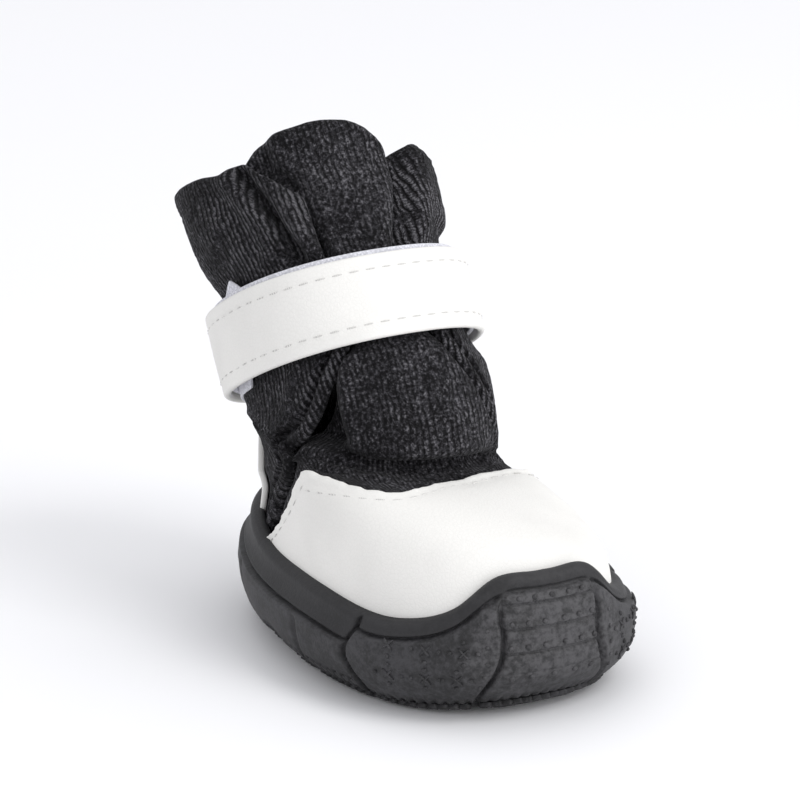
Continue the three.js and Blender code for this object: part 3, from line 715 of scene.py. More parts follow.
def sole_mesh(material):
    """The cup from the tread plate up its sidewall, over the rim and down to its floor."""
    theta, run = even_angles(COLUMNS)
    rim = rim_height(theta)
    rows = []
    for z in np.arange(TREAD_PLATE, 10.0, 0.25):
        rows.append((np.full(COLUMNS, z), None))
    for share in np.linspace(0, 0.965, 48):
        rows.append((10.0 + (rim - 10.0) * share, None))
    for turn in np.linspace(0.25, 1.0, 7):
        rows.append((rim - 0.45 + 0.45 * np.sin(math.pi * turn),
                     3.1 - 0.85 * np.cos(math.pi * turn)))
    for drop in (1.6, 3.4):
        rows.append((rim - drop, RIM_INSET + RIM_WALL))
    rows += [(np.full(COLUMNS, z), i) for z, i in (
        (6.1, 4.0), (4.6, 4.8), (SOLE_FLOOR, 9.0), (SOLE_FLOOR, 20.0))]
    rings = []
    lips = [np.zeros(4 * COLUMNS)]
    for z, inset in rows:
        lips.append(lip_share(theta, z, rim))
        if inset is None:
            inset = sidewall_inset(z, rim) - side_relief(theta, run, z, rim)
        p = outline_point(theta, np.broadcast_to(inset, theta.shape))
        lift = spring(p[:, 1]) * smooth(10, 1.5, z)
        rings.append(np.stack([p[:, 0], p[:, 1], z + lift], -1))
    base = []
    for inset in (20.0, 12.0, 7.5, 5.4):
        p = outline_point(theta, np.full(COLUMNS, inset))
        base.append(np.stack([p[:, 0], p[:, 1], TREAD_PLATE + spring(p[:, 1])], -1))
    rings = base + rings
    points = np.concatenate(rings)
    faces = grid_faces(len(rings), COLUMNS, loop=True)
    low = [0.0, 0.0, TREAD_PLATE + float(spring(0.0))]
    points = np.vstack([points, low, [0.0, 0.0, SOLE_FLOOR]])
    last = (len(rings) - 1) * COLUMNS
    for c in range(COLUMNS):
        d = (c + 1) % COLUMNS
        faces.append((len(points) - 2, d, c))
        faces.append((len(points) - 1, last + c, last + d))
    lips = np.concatenate(lips + [np.zeros(2)])
    return mesh_object("sole_shell", points, faces, material, np.stack([lips, lips], -1))


# ---- Geometry Nodes -------------------------------------------------------------------------


def new_tree(name, inputs):
    """An empty node group with a geometry input and named inputs; returns it and a maker."""
    tree = bpy.data.node_groups.new(name, "GeometryNodeTree")
    tree.interface.new_socket("Geometry", in_out="INPUT", socket_type="NodeSocketGeometry")
    for title, kind in inputs:
        tree.interface.new_socket(title, in_out="INPUT", socket_type=kind)
    tree.interface.new_socket("Geometry", in_out="OUTPUT", socket_type="NodeSocketGeometry")
    source = tree.nodes.new("NodeGroupInput")

    def add(kind, links=None, **settings):
        node = tree.nodes.new(kind)
        for key, value in settings.items():
            setattr(node, key, value)
        for key, value in (links or {}).items():
            if isinstance(value, bpy.types.NodeSocket):
                tree.links.new(value, node.inputs[key])
            else:
                node.inputs[key].default_value = value
        return node

    return tree, source, add


def finish_tree(tree, source, add, geometry):
    """Realize the instances, set the material and close the tree."""
    real = add("GeometryNodeRealizeInstances", {0: geometry})
    painted = add("GeometryNodeSetMaterial", {0: real.outputs[0], 2: source.outputs["Material"]})
    out = add("NodeGroupOutput")
    tree.links.new(painted.outputs[0], out.inputs[0])


def run_tree(tree, start, name, values):
    """The tree's result as a plain mesh object."""
    modifier = start.modifiers.new("Build", "NODES")
    modifier.node_group = tree
    for item in tree.interface.items_tree:
        if item.item_type == "SOCKET" and item.in_out == "INPUT" and item.name in values:
            modifier[item.identifier] = values[item.name]
    graph = bpy.context.evaluated_depsgraph_get()
    mesh = bpy.data.meshes.new_from_object(start.evaluated_get(graph))
    bpy.data.objects.remove(start)
    if not mesh.polygons:
        raise RuntimeError(f"{name}: the tree made nothing")
    mesh.name = name
    mesh.polygons.foreach_set("use_smooth", [True] * len(mesh.polygons))
    return linked(name, mesh)


def stitch_tree():
    """Thread stitches along a path: one small capsule every pitch, along the path."""
    tree, source, add = new_tree("Stitches", [
        ("Pitch", "NodeSocketFloat"), ("Length", "NodeSocketFloat"),
        ("Thickness", "NodeSocketFloat"), ("Material", "NodeSocketMaterial")])
    curve = add("GeometryNodeMeshToCurve", {0: source.outputs["Geometry"]})
    even = add("GeometryNodeResampleCurve", {0: curve.outputs[0]}, mode="LENGTH")
    tree.links.new(source.outputs["Pitch"], even.inputs["Length"])
    tangent = add("GeometryNodeInputTangent")
    turn = add("FunctionNodeAlignRotationToVector", {"Vector": tangent.outputs[0]}, axis="Z")
    ball = add("GeometryNodeMeshUVSphere", {"Segments": 8, "Rings": 6, "Radius": 0.5})
    size = add("ShaderNodeCombineXYZ", {0: source.outputs["Thickness"],
                                        1: source.outputs["Thickness"],
                                        2: source.outputs["Length"]})
    placed = add("GeometryNodeInstanceOnPoints", {
        "Points": even.outputs[0], "Instance": ball.outputs[0],
        "Rotation": turn.outputs[0], "Scale": size.outputs[0]})
    finish_tree(tree, source, add, placed.outputs[0])
    return tree


MARK_VALUES = ("out", "along", "shape")


def mark_tree():
    """Copies of one mark on points, turned by the points' out and along directions."""
    tree, source, add = new_tree("Marks", [
        ("Mark", "NodeSocketObject"), ("Size", "NodeSocketFloat"),
        ("Material", "NodeSocketMaterial")])
    out, along, shape = (add("GeometryNodeInputNamedAttribute", {"Name": key},
                             data_type="FLOAT_VECTOR") for key in MARK_VALUES)
    turn = add("FunctionNodeAlignRotationToVector", {"Vector": out.outputs[0]}, axis="Z")
    turn = add("FunctionNodeAlignRotationToVector",
               {"Rotation": turn.outputs[0], "Vector": along.outputs[0]}, axis="X",
               pivot_axis="Z")
    mark = add("GeometryNodeObjectInfo", {"Object": source.outputs["Mark"]})
    size = add("ShaderNodeVectorMath", {0: shape.outputs[0], "Scale": source.outputs["Size"]},
               operation="SCALE")
    placed = add("GeometryNodeInstanceOnPoints", {
        "Points": source.outputs["Geometry"], "Instance": mark.outputs["Geometry"],
        "Rotation": turn.outputs[0], "Scale": size.outputs[0]})
    finish_tree(tree, source, add, placed.outputs[0])
    return tree


def path_object(paths):
    """Open paths, in millimetres, as one object of edges."""
    points, edges = [], []
    for path in paths:
        start = len(points)
        points += (np.asarray(path) * MM).tolist()
        edges += [(start + i, start + i + 1) for i in range(len(path) - 1)]
    mesh = bpy.data.meshes.new("path")
    mesh.from_pydata(points, edges, [])
    return linked("path", mesh)


def marks_object(marks):
    """Points that carry the directions and the shape of each mark."""
    places, *values = zip(*marks)
    mesh = bpy.data.meshes.new("places")
    mesh.from_pydata((np.asarray(places) * MM).tolist(), [], [])
    for key, rows in zip(MARK_VALUES, values):
        layer = mesh.attributes.new(key, "FLOAT_VECTOR", "POINT")
        layer.data.foreach_set("vector", np.asarray(rows, np.float32).ravel())
    return linked("places", mesh)


def lug_shape(segments=20, corner=0.38, top=0.84):
    """A low block with rounded corners, one unit each way, its foot at the origin."""
    turn = np.linspace(0, 2 * math.pi, segments, endpoint=False)
    ring = np.stack([signed_power(f(turn), corner) for f in (np.cos, np.sin)], -1) / 2
    rings = [(1.0, -0.25), (1.0, 0.5), (0.97, 0.8), (0.9, 0.95), (top, 1.0)]
    points = [(x * s, y * s, z) for s, z in rings for x, y in ring]
    faces = grid_faces(len(rings), segments, loop=True)
    points.append((0, 0, 1.0))
    last = (len(rings) - 1) * segments
    faces += [(last + i, last + (i + 1) % segments, len(points) - 1) for i in range(segments)]
    faces.append(tuple(range(segments))[::-1])
    mesh = bpy.data.meshes.new("lug")
    mesh.from_pydata(points, [], faces)
    return bpy.data.objects.new("lug", mesh)


def dot_shape(segments=8):
    """Half a flattened ball, one unit across and high."""
    points = []
    for up in (0.0, 0.45, 0.8):
        r = 0.5 * math.sqrt(1 - up * up)
        for k in range(segments):
            t = 2 * math.pi * k / segments
            points.append((r * math.cos(t), r * math.sin(t), up - 0.15))
    faces = grid_faces(3, segments, loop=True)
    points.append((0, 0, 0.85))
    faces += [(2 * segments + i, 2 * segments + (i + 1) % segments, len(points) - 1)
              for i in range(segments)]
    faces.append(tuple(range(segments))[::-1])
    mesh = bpy.data.meshes.new("dot")
    mesh.from_pydata(points, [], faces)
    return bpy.data.objects.new("dot", mesh)


def marks_run(marks, name, shape):
    return run_tree(mark_tree(), marks_object(marks), name,
                    {"Mark": shape, "Size": MM, "Material": finish("rubber")})


def side_mark(angle, z, shape, lean=0.0):
    """One mark of the sidewall: place, way out, way along and shape."""
    p, out = sidewall_point(angle, z)
    side = unit(sidewall_point(angle + 0.5, z)[0] - p)
    up = np.cross(out, side)
    return p, out, side * math.cos(lean) + up * math.sin(lean), shape


def tread_marks():
    """The lugs in bands across the tread: one in the middle and one at each side."""
    marks = []
    outline = outline_point(np.linspace(0, math.pi, 400), np.full(400, TREAD_HALF_INSET))
    for low, high in TREAD_BANDS:
        y = (low + high) / 2
        edge = min(np.interp(end, outline[:, 1], outline[:, 0]) for end in (low, high))
        for side in (-1, 0, 1):
            inner, outer = (SIDE_LUG, edge) if side else (-CENTRE_LUG, CENTRE_LUG)
            if outer - inner < 1.5:
                continue
            middle = (inner + outer) / 2 * (side if side else 1)
            slope = (float(spring(high)) - float(spring(low))) / (high - low)
            marks.append(((middle, y, TREAD_PLATE + float(spring(y))),
                          unit(np.array([0, slope, -1.0])), (1.0, 0.0, 0.0),
                          (outer - inner, high - low, LUG_HEIGHT)))
    return marks


def foot_marks():
    """Short blocks round the foot: a row at the edge of the tread, and one above it behind."""
    marks = []
    pitch = bpy.context.scene.boot_sizes.tooth_pitch / MM
    theta, run = even_angles(COLUMNS)
    for row, (z, width, tall, high, start) in enumerate(TOOTH_ROWS):
        at = np.arange(run[0] + pitch * (0.25 + 0.5 * row), run[-1], pitch)
        marks += [side_mark(angle, z, (width, tall, high))
                  for angle in np.degrees(np.interp(at, run, theta)) if abs(angle) >= start]
    return marks


def panel_marks():
    """Crosses with four dots round each on the side panels, and dots on the bumper."""
    marks = []
    for side in (-1, 1):
        for row, z in enumerate(CROSS_HEIGHTS):
            for k, angle in enumerate(CROSS_ANGLES):
                if row == 1 and k == 0:
                    angle += 2
                marks += [side_mark(side * angle, z, CROSS_BAR, lean) for lean in (0.78, -0.78)]
                for da, dz in ((-4.2, 0), (4.2, 0), (0, 1.7), (0, -1.7)):
                    lip = float(rim_height(math.radians(angle + da))) - FRONT_BAND
                    if z + dz <= lip - 0.9:
                        marks.append(side_mark(side * (angle + da), z + dz, PANEL_DOT))
        marks += [side_mark(side * (19.5 + max(0, 9 - z) * 0.5), z, GROOVE_DOT)
                  for z in (5.0, 7.5, 10.0, 12.5, 15.0)]
    for z, count, half in BUMPER_DOTS:
        marks += [side_mark(-half + 2 * half * k / (count - 1), z, BUMPER_DOT)
                  for k in range(count)]
    return marks


# ---- upper ----------------------------------------------------------------------------------


def fleece(points, seed):
    """Small unevenness of a brushed surface."""
    return 0.09 * waves(points, seed, 1.7, 2)


def levels_between(low, high, angle, step):
    """Levels that are an even distance apart up the upper, closer at both ends."""
    fine = np.linspace(low, high, 400)
    run = run_along(last_point(np.full(400, float(angle)), fine))
    return np.interp(edge_steps(run[-1], 2.2, step) * run[-1], run, fine)


def collar_raised(points, angle, level):
    """The top two levels lifted along the shaft to the collar's edge."""
    rise = table(COLLAR, (angle + 180) % 360 - 180)
    x = np.clip(level - (COLLAR_LEVEL - 2), 0, 2)
    amount = rise * (0.1 * x * x + 0.3 * x)
    return points + amount[..., None] * np.array([0, SHAFT_LEAN, 1.0])


# The fullness over the ankle on the boot's own right, which the heel patch follows too.
ANKLE_SWELL = ([(-116, 13.4), (-118, 11.0), (-120, 9.0), (-122, 7.0), (-123, 4.0)], 1.25, 6.0)

QUARTER_CREASES = [
    ANKLE_SWELL,
    # own right, above the strap: the fold behind the front hem, and the folds beside it
    ([(-60, 18.4), (-52, 17.3), (-47, 16.5), (-44, 15.8), (-41, 15.0)], -3.4, 0.95),
    ([(-48, 18.3), (-40, 17.3), (-36, 16.4), (-34, 15.7), (-33, 15.0)], 1.5, 1.8),
    ([(-42, 17.9), (-34, 17.0), (-31, 16.2), (-31, 15.4)], -0.6, 0.6),
    ([(-68, 18.3), (-61, 17.2), (-55, 16.3), (-51, 15.6)], 1.0, 1.6),
    ([(-60, 16.6), (-55, 16.0), (-49, 15.2)], -0.9, 0.9),
    ([(-80, 17.9), (-71, 16.9), (-66, 16.1), (-63, 15.4)], -0.7, 1.8),
    ([(-100, 17.6), (-92, 16.8), (-86, 16.0)], 0.7, 3.0),
    # own right, below the strap
    ([(-62, 12.9), (-70, 12.0), (-82, 11.0), (-95, 9.0)], 0.6, 1.8),
    # own left: the lobe above the strap, and below it
    ([(36, 18.3), (33, 17.2), (27, 16.2), (20, 15.2)], -0.9, 0.8),
    ([(46, 18.3), (43, 17.2), (37, 16.2), (30, 15.2)], 0.8, 2.0),
    ([(60, 18.0), (60, 17.2), (60, 16.3), (58, 15.5)], 1.6, 5.0),
    ([(85, 17.5), (80, 16.6), (76, 15.8)], -0.6, 2.0),
    ([(60, 12.4), (66, 11.2), (74, 9.6)], 0.6, 2.0),
    # round the back
    ([(150, 17.2), (152, 16.2), (150, 15.4)], -0.6, 2.2),
    ([(-150, 17.0), (-148, 16.1), (-150, 15.3)], 0.6, 2.6),
    ([(130, 11.8), (140, 10.0), (150, 8.0)], -0.5, 2.0),
    ([(-140, 12.0), (-150, 10.4), (-165, 9.0)], -0.5, 2.2),
]

PANEL_CREASES = [
    # the deep fold where the panel meets the vamp, and the roll above it
    ([(-50, 10.4), (-43, 10.0), (-32, 9.55), (-17, 9.5), (-2, 9.45), (11, 9.45), (30, 9.35),
      (46, 9.2)], -2.6, 1.1),
    ([(-42, 10.75), (-32, 10.3), (-17, 10.15), (0, 10.1), (14, 10.1), (34, 9.95)], 1.1, 1.5),
    ([(-36, 12.4), (-38, 11.6), (-38, 10.9)], 0.5, 1.6),
    ([(-20, 11.8), (-12, 11.1), (2, 10.7)], -0.45, 1.0),
    ([(16, 11.9), (12, 11.2), (18, 10.6)], -0.4, 1.0),
    ([(-14, 12.6), (-6, 12.0), (8, 11.6)], 0.4, 1.6),
    # soft buckles of the vamp beside the cap
    ([(-70, 8.6), (-52, 8.6), (-34, 8.5), (-15, 8.7)], 0.7, 1.2),
    ([(-84, 7.6), (-66, 7.6), (-50, 7.9)], -0.6, 0.8),
    ([(10, 8.8), (30, 8.7), (52, 8.3)], 0.6, 1.2),
    # the front panel above the strap
    ([(-12, 18.6), (-10, 17.6), (-8, 16.4)], 0.5, 3.2),
    ([(-28, 18.2), (-20, 17.8), (-8, 17.5), (6, 17.6)], -0.25, 1.6),
]

# Top of the front panel: angle and level.
PANEL_TOP = [(-70, 17.6), (-60, 18.15), (-50, 18.48), (-40, 18.64), (-31, 18.74), (-21, 18.8),
             (-12, 18.86), (-1, 18.82), (8, 18.66), (14, 18.46), (20, 18.2), (26, 17.9), (32, 17.5),
             (40, 16.8)]
# Its own left edge above the strap, where it lies over the quarter: level and angle.
PANEL_LEFT_EDGE = [(13.6, 12), (14.5, 6), (15.25, 8), (15.8, 11), (16.55, 15), (17.3, 20),
                   (18.0, 22), (19.0, 22)]
PANEL_OVERLAP = 9               # degrees that the panel reaches behind each quarter
SHAFT_MM_PER_DEGREE = 0.33      # round the shaft
# Where the panel's own right side turns in, above the vamp: level and angle.
PANEL_TURN = [(9.6, -44), (10.45, -42), (10.9, -44), (11.5, -44), (12.05, -42), (12.7, -37),
              (13.4, -34)]


def bridged(points, normals, levels, share):
    """The quarters drawn straight over the hollow of the instep, most of all at their fronts."""
    low, high = np.searchsorted(levels, (4.4, 12.7))
    part = points[low:high + 1]
    run = run_along(part)
    t = (run / run[-1])[..., None]
    straight = part[0] + (part[-1] - part[0]) * t
    out = np.sum((straight - part) * normals[low:high + 1], -1)
    girth = KNIT_GIRTH * share
    weight = 0.85 * (1 - smooth(22, 50, girth)) + 0.4 * (1 - smooth(6, 26, KNIT_GIRTH - girth))
    moved = points.copy()
    moved[low:high + 1] += normals[low:high + 1] * (np.clip(out, -0.3, 5.0) * weight)[..., None]
    turned = grid_normals(moved)
    turned *= np.sign(np.sum(turned * normals, -1))[..., None]
    return moved, unit(turned * weight[None, :, None] + normals * (1 - weight)[None, :, None])


def knit_map(angle, middle):
    """Ribs round the boot and millimetres up it."""
    return np.stack([angle * (KNIT_GIRTH / 360 / RIB_PITCH), run_along(middle)], -1)


def quarters_mesh(material):
    """Both quarters and the shaft, from one front edge round the back to the other."""
    levels = levels_between(FOOT_LEVEL, COLLAR_LEVEL, -110, 0.55)
    share = edge_steps(KNIT_GIRTH, 2.2, 0.52, band_step=0.3)
    front = table(RIGHT_QUARTER_EDGE, levels)[:, None]
    back = table(LEFT_QUARTER_EDGE, levels)[:, None] - 360
    angle = front + (back - front) * share[None, :]
    level = np.broadcast_to(levels[:, None], angle.shape)
    outside = collar_raised(last_point(angle, level), angle, level)
    normal = last_normal(angle, level)
    outside, normal = bridged(outside, normal, levels, share)
    outside = creased(outside, normal, QUARTER_CREASES)
    # below the strap each front edge has a narrow hem, turned in and sewn
    for edge_rows in (RIGHT_QUARTER_EDGE, LEFT_QUARTER_EDGE):
        at = np.linspace(1.0, 13.4, 90)
        d, _ = near_path(outside, last_point(table(edge_rows, at), at))
        hem = 0.40 * np.exp(-((d - 1.3) / 0.9) ** 2) - 1.5 * np.exp(-((d - 2.7) / 0.48) ** 2)
        hem += 0.35 * np.exp(-((d - 3.7) / 0.6) ** 2)
        outside += normal * (hem * smooth(13.6, 12.6, level))[..., None]
    # above the strap the own left front edge lies behind the panel
    beside = angle + 360 - table(PANEL_LEFT_EDGE, level)
    tucked = smooth(13.9, 14.9, level) * smooth(19, 3, beside) * (angle < -200)
    outside -= normal * (3.5 * tucked)[..., None]
    outside += normal * (0.22 * waves(outside, 11, 16.0) + fleece(outside, 12))[..., None]
    middle = outside - normal * (KNIT_WALL / 2)
    outer, inner, edge = sheet_points(middle, normal, KNIT_WALL, bead=0.16, bead_at=2.0,
                                      uncut=("low",))
    seam = np.exp(-((edge - 4.3) / 0.35) ** 2) * (level > 2)
    outer = outer - normal * (0.18 * seam)[..., None]
    return sheet_object("quarters", outer, inner, material, knit_map(angle, middle))


def front_panel_mesh(material):
    """Vamp and front panel in one: from under the toe cap, up behind the strap, to its top."""
    levels = levels_between(FOOT_LEVEL, 18.92, 0, 0.55)
    share = edge_steps(70.0, 2.0, 0.55)
    low_angle = table(RIGHT_QUARTER_EDGE, np.minimum(levels, 17.6)) - PANEL_OVERLAP
    high_angle = table(LEFT_QUARTER_EDGE, np.minimum(levels, 17.3)) + PANEL_OVERLAP
    top = smooth(16.8, 18.3, levels)
    low_angle = low_angle * (1 - top) + PANEL_TOP[0][0] * top
    free = smooth(13.2, 14.4, levels)
    high_angle = high_angle * (1 - free) + table(PANEL_LEFT_EDGE, levels) * free
    angle = low_angle[:, None] + (high_angle - low_angle)[:, None] * share[None, :]
    # the rows bend to follow the round top
    high = levels[-1]
    reach = table(PANEL_TOP, angle[-1])
    pull = np.clip((levels - 13.5) / (high - 13.5), 0, 1)[:, None] ** 1.2
    level = levels[:, None] + (reach - high)[None, :] * pull
    outside = last_point(angle, level)
    normal = last_normal(angle, level)
    above_strap = smooth(14.2, 15.2, level)
    hollow = smooth(9.6, 10.4, level) * (1 - smooth(12.6, 13.2, level))
    # off the surface: behind the quarters at the sides, level with them in the middle
    from_right_quarter = (angle - table(RIGHT_QUARTER_EDGE, level)) * SHAFT_MM_PER_DEGREE
    from_left_quarter = (table(LEFT_QUARTER_EDGE, level) - angle) * SHAFT_MM_PER_DEGREE
    own_right = smooth(-0.6, 2.4 - 1.0 * hollow, from_right_quarter) * (1 - hollow)
    own_right += hollow * smooth(-11, 4, angle - table(PANEL_TURN, level))
    free = smooth(13.6, 14.6, level)
    own_left = free + (1 - free) * smooth(-0.4, 2.2, from_left_quarter)
    depth = -(2.3 + 3.9 * hollow) * (1 - own_right) - 2.2 * (1 - own_left)
    edge_turn = smooth(-9, 1, angle - table(PANEL_LEFT_EDGE, level))
    depth -= above_strap * 0.7 * edge_turn ** 2
    bulge = hollow * 0.9 + above_strap * 0.1
    depth = np.maximum(depth, -6.2) + bulge * own_right * own_left
    depth -= 0.25 * smooth(13.0, 13.4, level) * smooth(15.2, 14.8, level)
    outside = outside + normal * depth[..., None]
    outside = creased(outside, normal, PANEL_CREASES)
    under_cap = smooth(7.6, 6.4, level)
    outside += normal * (0.2 * waves(outside, 5, 13.0) * (1 - under_cap))[..., None]
    outside += normal * (fleece(outside, 6) * (1 - under_cap))[..., None]
    middle = outside - normal * (KNIT_WALL / 2)
    outer, inner, _ = sheet_points(middle, normal, KNIT_WALL, bead=0.12, bead_at=1.4,
                                   uncut=("low",))
    return sheet_object("front_panel", outer, inner, material, knit_map(angle, middle))


# ---- leather pieces -------------------------------------------------------------------------
# Outline of the toe cap on the upper's surface, own right half to own left half.
CAP_REAR = [(-79, 6.15), (-77, 6.3), (-73, 6.38), (-66, 6.36), (-57, 6.28), (-48, 6.25),
            (-36, 6.42), (-23, 6.88), (-12, 7.34), (-2, 7.72), (10, 8.08), (21, 8.33), (34, 8.2),
            (46, 7.8), (58, 7.1), (67, 6.65), (73, 6.4), (75, 6.2)]
CAP_SIDE = [(0.9, -118), (2.0, -113.5), (2.9, -106), (4.05, -97), (5.2, -87.5), (5.9, -81),
            (6.15, -79)]
CAP_SIDE_LEFT = [(0.9, 121), (2.0, 117), (2.9, 110), (4.05, 100), (5.2, 88), (6.0, 79),
                 (6.2, 75)]


STITCHES_FROM = 1.9             # the level that the cap's side stitches start at


def coons(low, high, left, right):
    """Grid filled in between four edges; low and high run left to right, the sides upwards."""
    n, m = len(low), len(left)
    u = np.linspace(0, 1, n)[None, :, None]
    v = np.linspace(0, 1, m)[:, None, None]
    low, high = low[None], high[None]
    left, right = left[:, None], right[:, None]
    corners = ((1 - u) * (1 - v) * low[:, :1] + u * (1 - v) * low[:, -1:]
               + (1 - u) * v * high[:, :1] + u * v * high[:, -1:])
    return (1 - v) * low + v * high + (1 - u) * left + u * right - corners


def spaced(path, shares):
    """Places along a path of (angle, level) rows at shares of its true length."""
    path = round_path(path, 10)
    run = run_along(last_point(path[:, 0], path[:, 1]))
    at = np.asarray(shares) * run[-1]
    return np.stack([np.interp(at, run, path[:, k]) for k in (0, 1)], -1)


def respaced(grid, shares_u, shares_v):
    """The same grid with its lines at given shares of each direction."""
    rows, columns = grid.shape[:2]
    at_u = np.asarray(shares_u) * (columns - 1)
    at_v = np.asarray(shares_v) * (rows - 1)
    i = np.minimum(at_u.astype(int), columns - 2)
    j = np.minimum(at_v.astype(int), rows - 2)
    fu, fv = (at_u - i)[None, :, None], (at_v - j)[:, None, None]
    a = grid[j][:, i] * (1 - fu) + grid[j][:, i + 1] * fu
    b = grid[j + 1][:, i] * (1 - fu) + grid[j + 1][:, i + 1] * fu
    return a * (1 - fv) + b * fv


def cap_grid():
    """Angles and levels of the toe cap's grid, between its four edges."""
    across, up = np.linspace(0, 1, 60), np.linspace(0, 1, 30)
    low = spaced([(a, LASTING_LEVEL) for a in np.linspace(-118, 121, 25)], across)
    high = spaced(CAP_REAR, across)
    left = spaced([(a, t) for t, a in CAP_SIDE], up)
    right = spaced([(a, t) for t, a in CAP_SIDE_LEFT], up)
    places = coons(low, high, left, right)
    return respaced(places, edge_steps(66.0, 1.0, 0.7, fine=5, band=3.0),
                    edge_steps(38.0, 1.0, 0.7, fine=5, band=3.0))


def cap_mesh(material):
    thick = bpy.context.scene.boot_sizes.cap_thickness / MM
    places = cap_grid()
    angle, level = places[..., 0], places[..., 1]
    normal = last_normal(angle, level)
    middle = last_point(angle, level) + normal * (CAP_OFF + thick / 2)
    middle += normal * (0.10 * waves(middle, 3, 22.0))[..., None]
    outer, inner, edge = sheet_points(middle, normal, thick, uncut=("low",))
    groove = np.exp(-((edge - GROOVE_AT) / GROOVE_WIDE) ** 2)
    # the cut edge stands up a little past its stitches and is not quite even
    lip = np.exp(-((edge - 0.8) / 0.7) ** 2) * 0.14
    uneven = np.exp(-(edge / 0.9) ** 2) * 0.26 * waves(middle, 9, 2.8)
    outer = outer + normal * (lip + uneven - 0.16 * groove)[..., None]
    inner = inner + normal * np.maximum(uneven, 0)[..., None] * 0.6
    return sheet_object("toe_cap_leather", outer, inner, material)


def on_surface(places, off):
    """Points a little off the upper at (angle, level) places."""
    places = np.asarray(places, float)
    p = last_point(places[:, 0], places[:, 1])
    return p + last_normal(places[:, 0], places[:, 1]) * off


def cap_stitch_paths():
    """Two paths: along the rear edge and down both sides, a stitch inset in from the edge."""
    inset = bpy.context.scene.boot_sizes.stitch_inset / MM
    grid = cap_grid()
    p = last_point(grid[..., 0], grid[..., 1])
    from_top = run_along(p[::-1])
    top_run = run_along(p[-1])
    rear = []
    for c in range(p.shape[1]):
        if min(top_run[c], top_run[-1] - top_run[c]) >= inset:
            rear.append([np.interp(inset, from_top[:, c], grid[::-1, c, k]) for k in (0, 1)])
    sides = []
    for mirror in (False, True):
        g = grid[:, ::-1] if mirror else grid
        q = p[:, ::-1] if mirror else p
        across = run_along(q, 1)
        below_top = run_along(q[::-1, 0])[::-1]
        sides.append([[np.interp(inset, across[r], g[r, :, k]) for k in (0, 1)]
                      for r in range(q.shape[0])
                      if g[r, 0, 1] > STITCHES_FROM and below_top[r] > inset])
    off = CAP_OFF + bpy.context.scene.boot_sizes.cap_thickness / MM
    return [on_surface(path, off) for path in (rear, *sides)]


def patch_grid():
    """Heel patch, from own right round the back: its top edge is a little lower at its ends."""
    angles = np.linspace(-130, -230, 50)
    top = table([(-230, 4.4), (-224, 5.8), (-206, 7.9), (-180, 8.6), (-154, 7.9), (-136, 5.8),
                 (-130, 4.4)], angles)
    share = edge_steps(30.0, 1.0, 0.7, fine=5, band=3.0)
    level = LASTING_LEVEL + (top[None, :] - LASTING_LEVEL) * share[:, None]
    grid = np.stack([np.broadcast_to(angles[None, :], level.shape), level], -1)
    return respaced(grid, edge_steps(64.0, 1.0, 0.8, fine=5, band=3.0),
                    np.linspace(0, 1, len(share)))


def patch_mesh(material):
    places = patch_grid()
    angle, level = places[..., 0], places[..., 1]
    normal = last_normal(angle, level)
    middle = creased(last_point(angle, level) + normal * 0.85, normal, [ANKLE_SWELL])
    outer, inner, edge = sheet_points(middle, normal, 1.0, uncut=("low",))
    groove = np.exp(-((edge - GROOVE_AT) / GROOVE_WIDE) ** 2)
    outer = outer - normal * (0.14 * groove)[..., None]
    return sheet_object("heel_patch_leather", outer, inner, material)


# ---- strap ----------------------------------------------------------------------------------
SNUG_HALF = 16.6
SNUG_POWER = 2.24
SNUG_FRONT = (19.2, 17.8)       # at the strap's lower and upper edge
SNUG_BACK = (20.0, 21.0)
STRAP_LOOP = [(-180, 0.4), (-135, 0.9), (-90, 1.3), (-50, 0.9), (0, 0.4), (60, 0.35),
              (110, 0.3), (180, 0.4)]
LEAN_COS = 1 / math.hypot(1, SHAFT_LEAN)


def strap_point(angle, rise, off):
    """Point of the strap's loop. rise is up the shaft and off is out from a snug fit."""
    angle, rise = np.broadcast_arrays(np.asarray(angle, float), np.asarray(rise, float))
    share = np.clip((rise - STRAP_LOW) / (STRAP_HIGH - STRAP_LOW), 0, 1)
    front = SNUG_FRONT[0] + (SNUG_FRONT[1] - SNUG_FRONT[0]) * share
    back = SNUG_BACK[0] + (SNUG_BACK[1] - SNUG_BACK[0]) * share
    across = signed_power(np.sin(np.radians(angle)), 2 / SNUG_POWER)
    along = signed_power(np.cos(np.radians(angle)), 2 / SNUG_POWER)
    stand = off + table(STRAP_LOOP, (angle + 180) % 360 - 180)
    d = -(np.where(along > 0, front, back) + stand) * along * LEAN_COS
    return np.stack([(SNUG_HALF + stand) * across - 0.3, SHAFT_FOOT[0] + SHAFT_LEAN * rise + d,
                     SHAFT_FOOT[1] + rise - d * SHAFT_LEAN], -1)


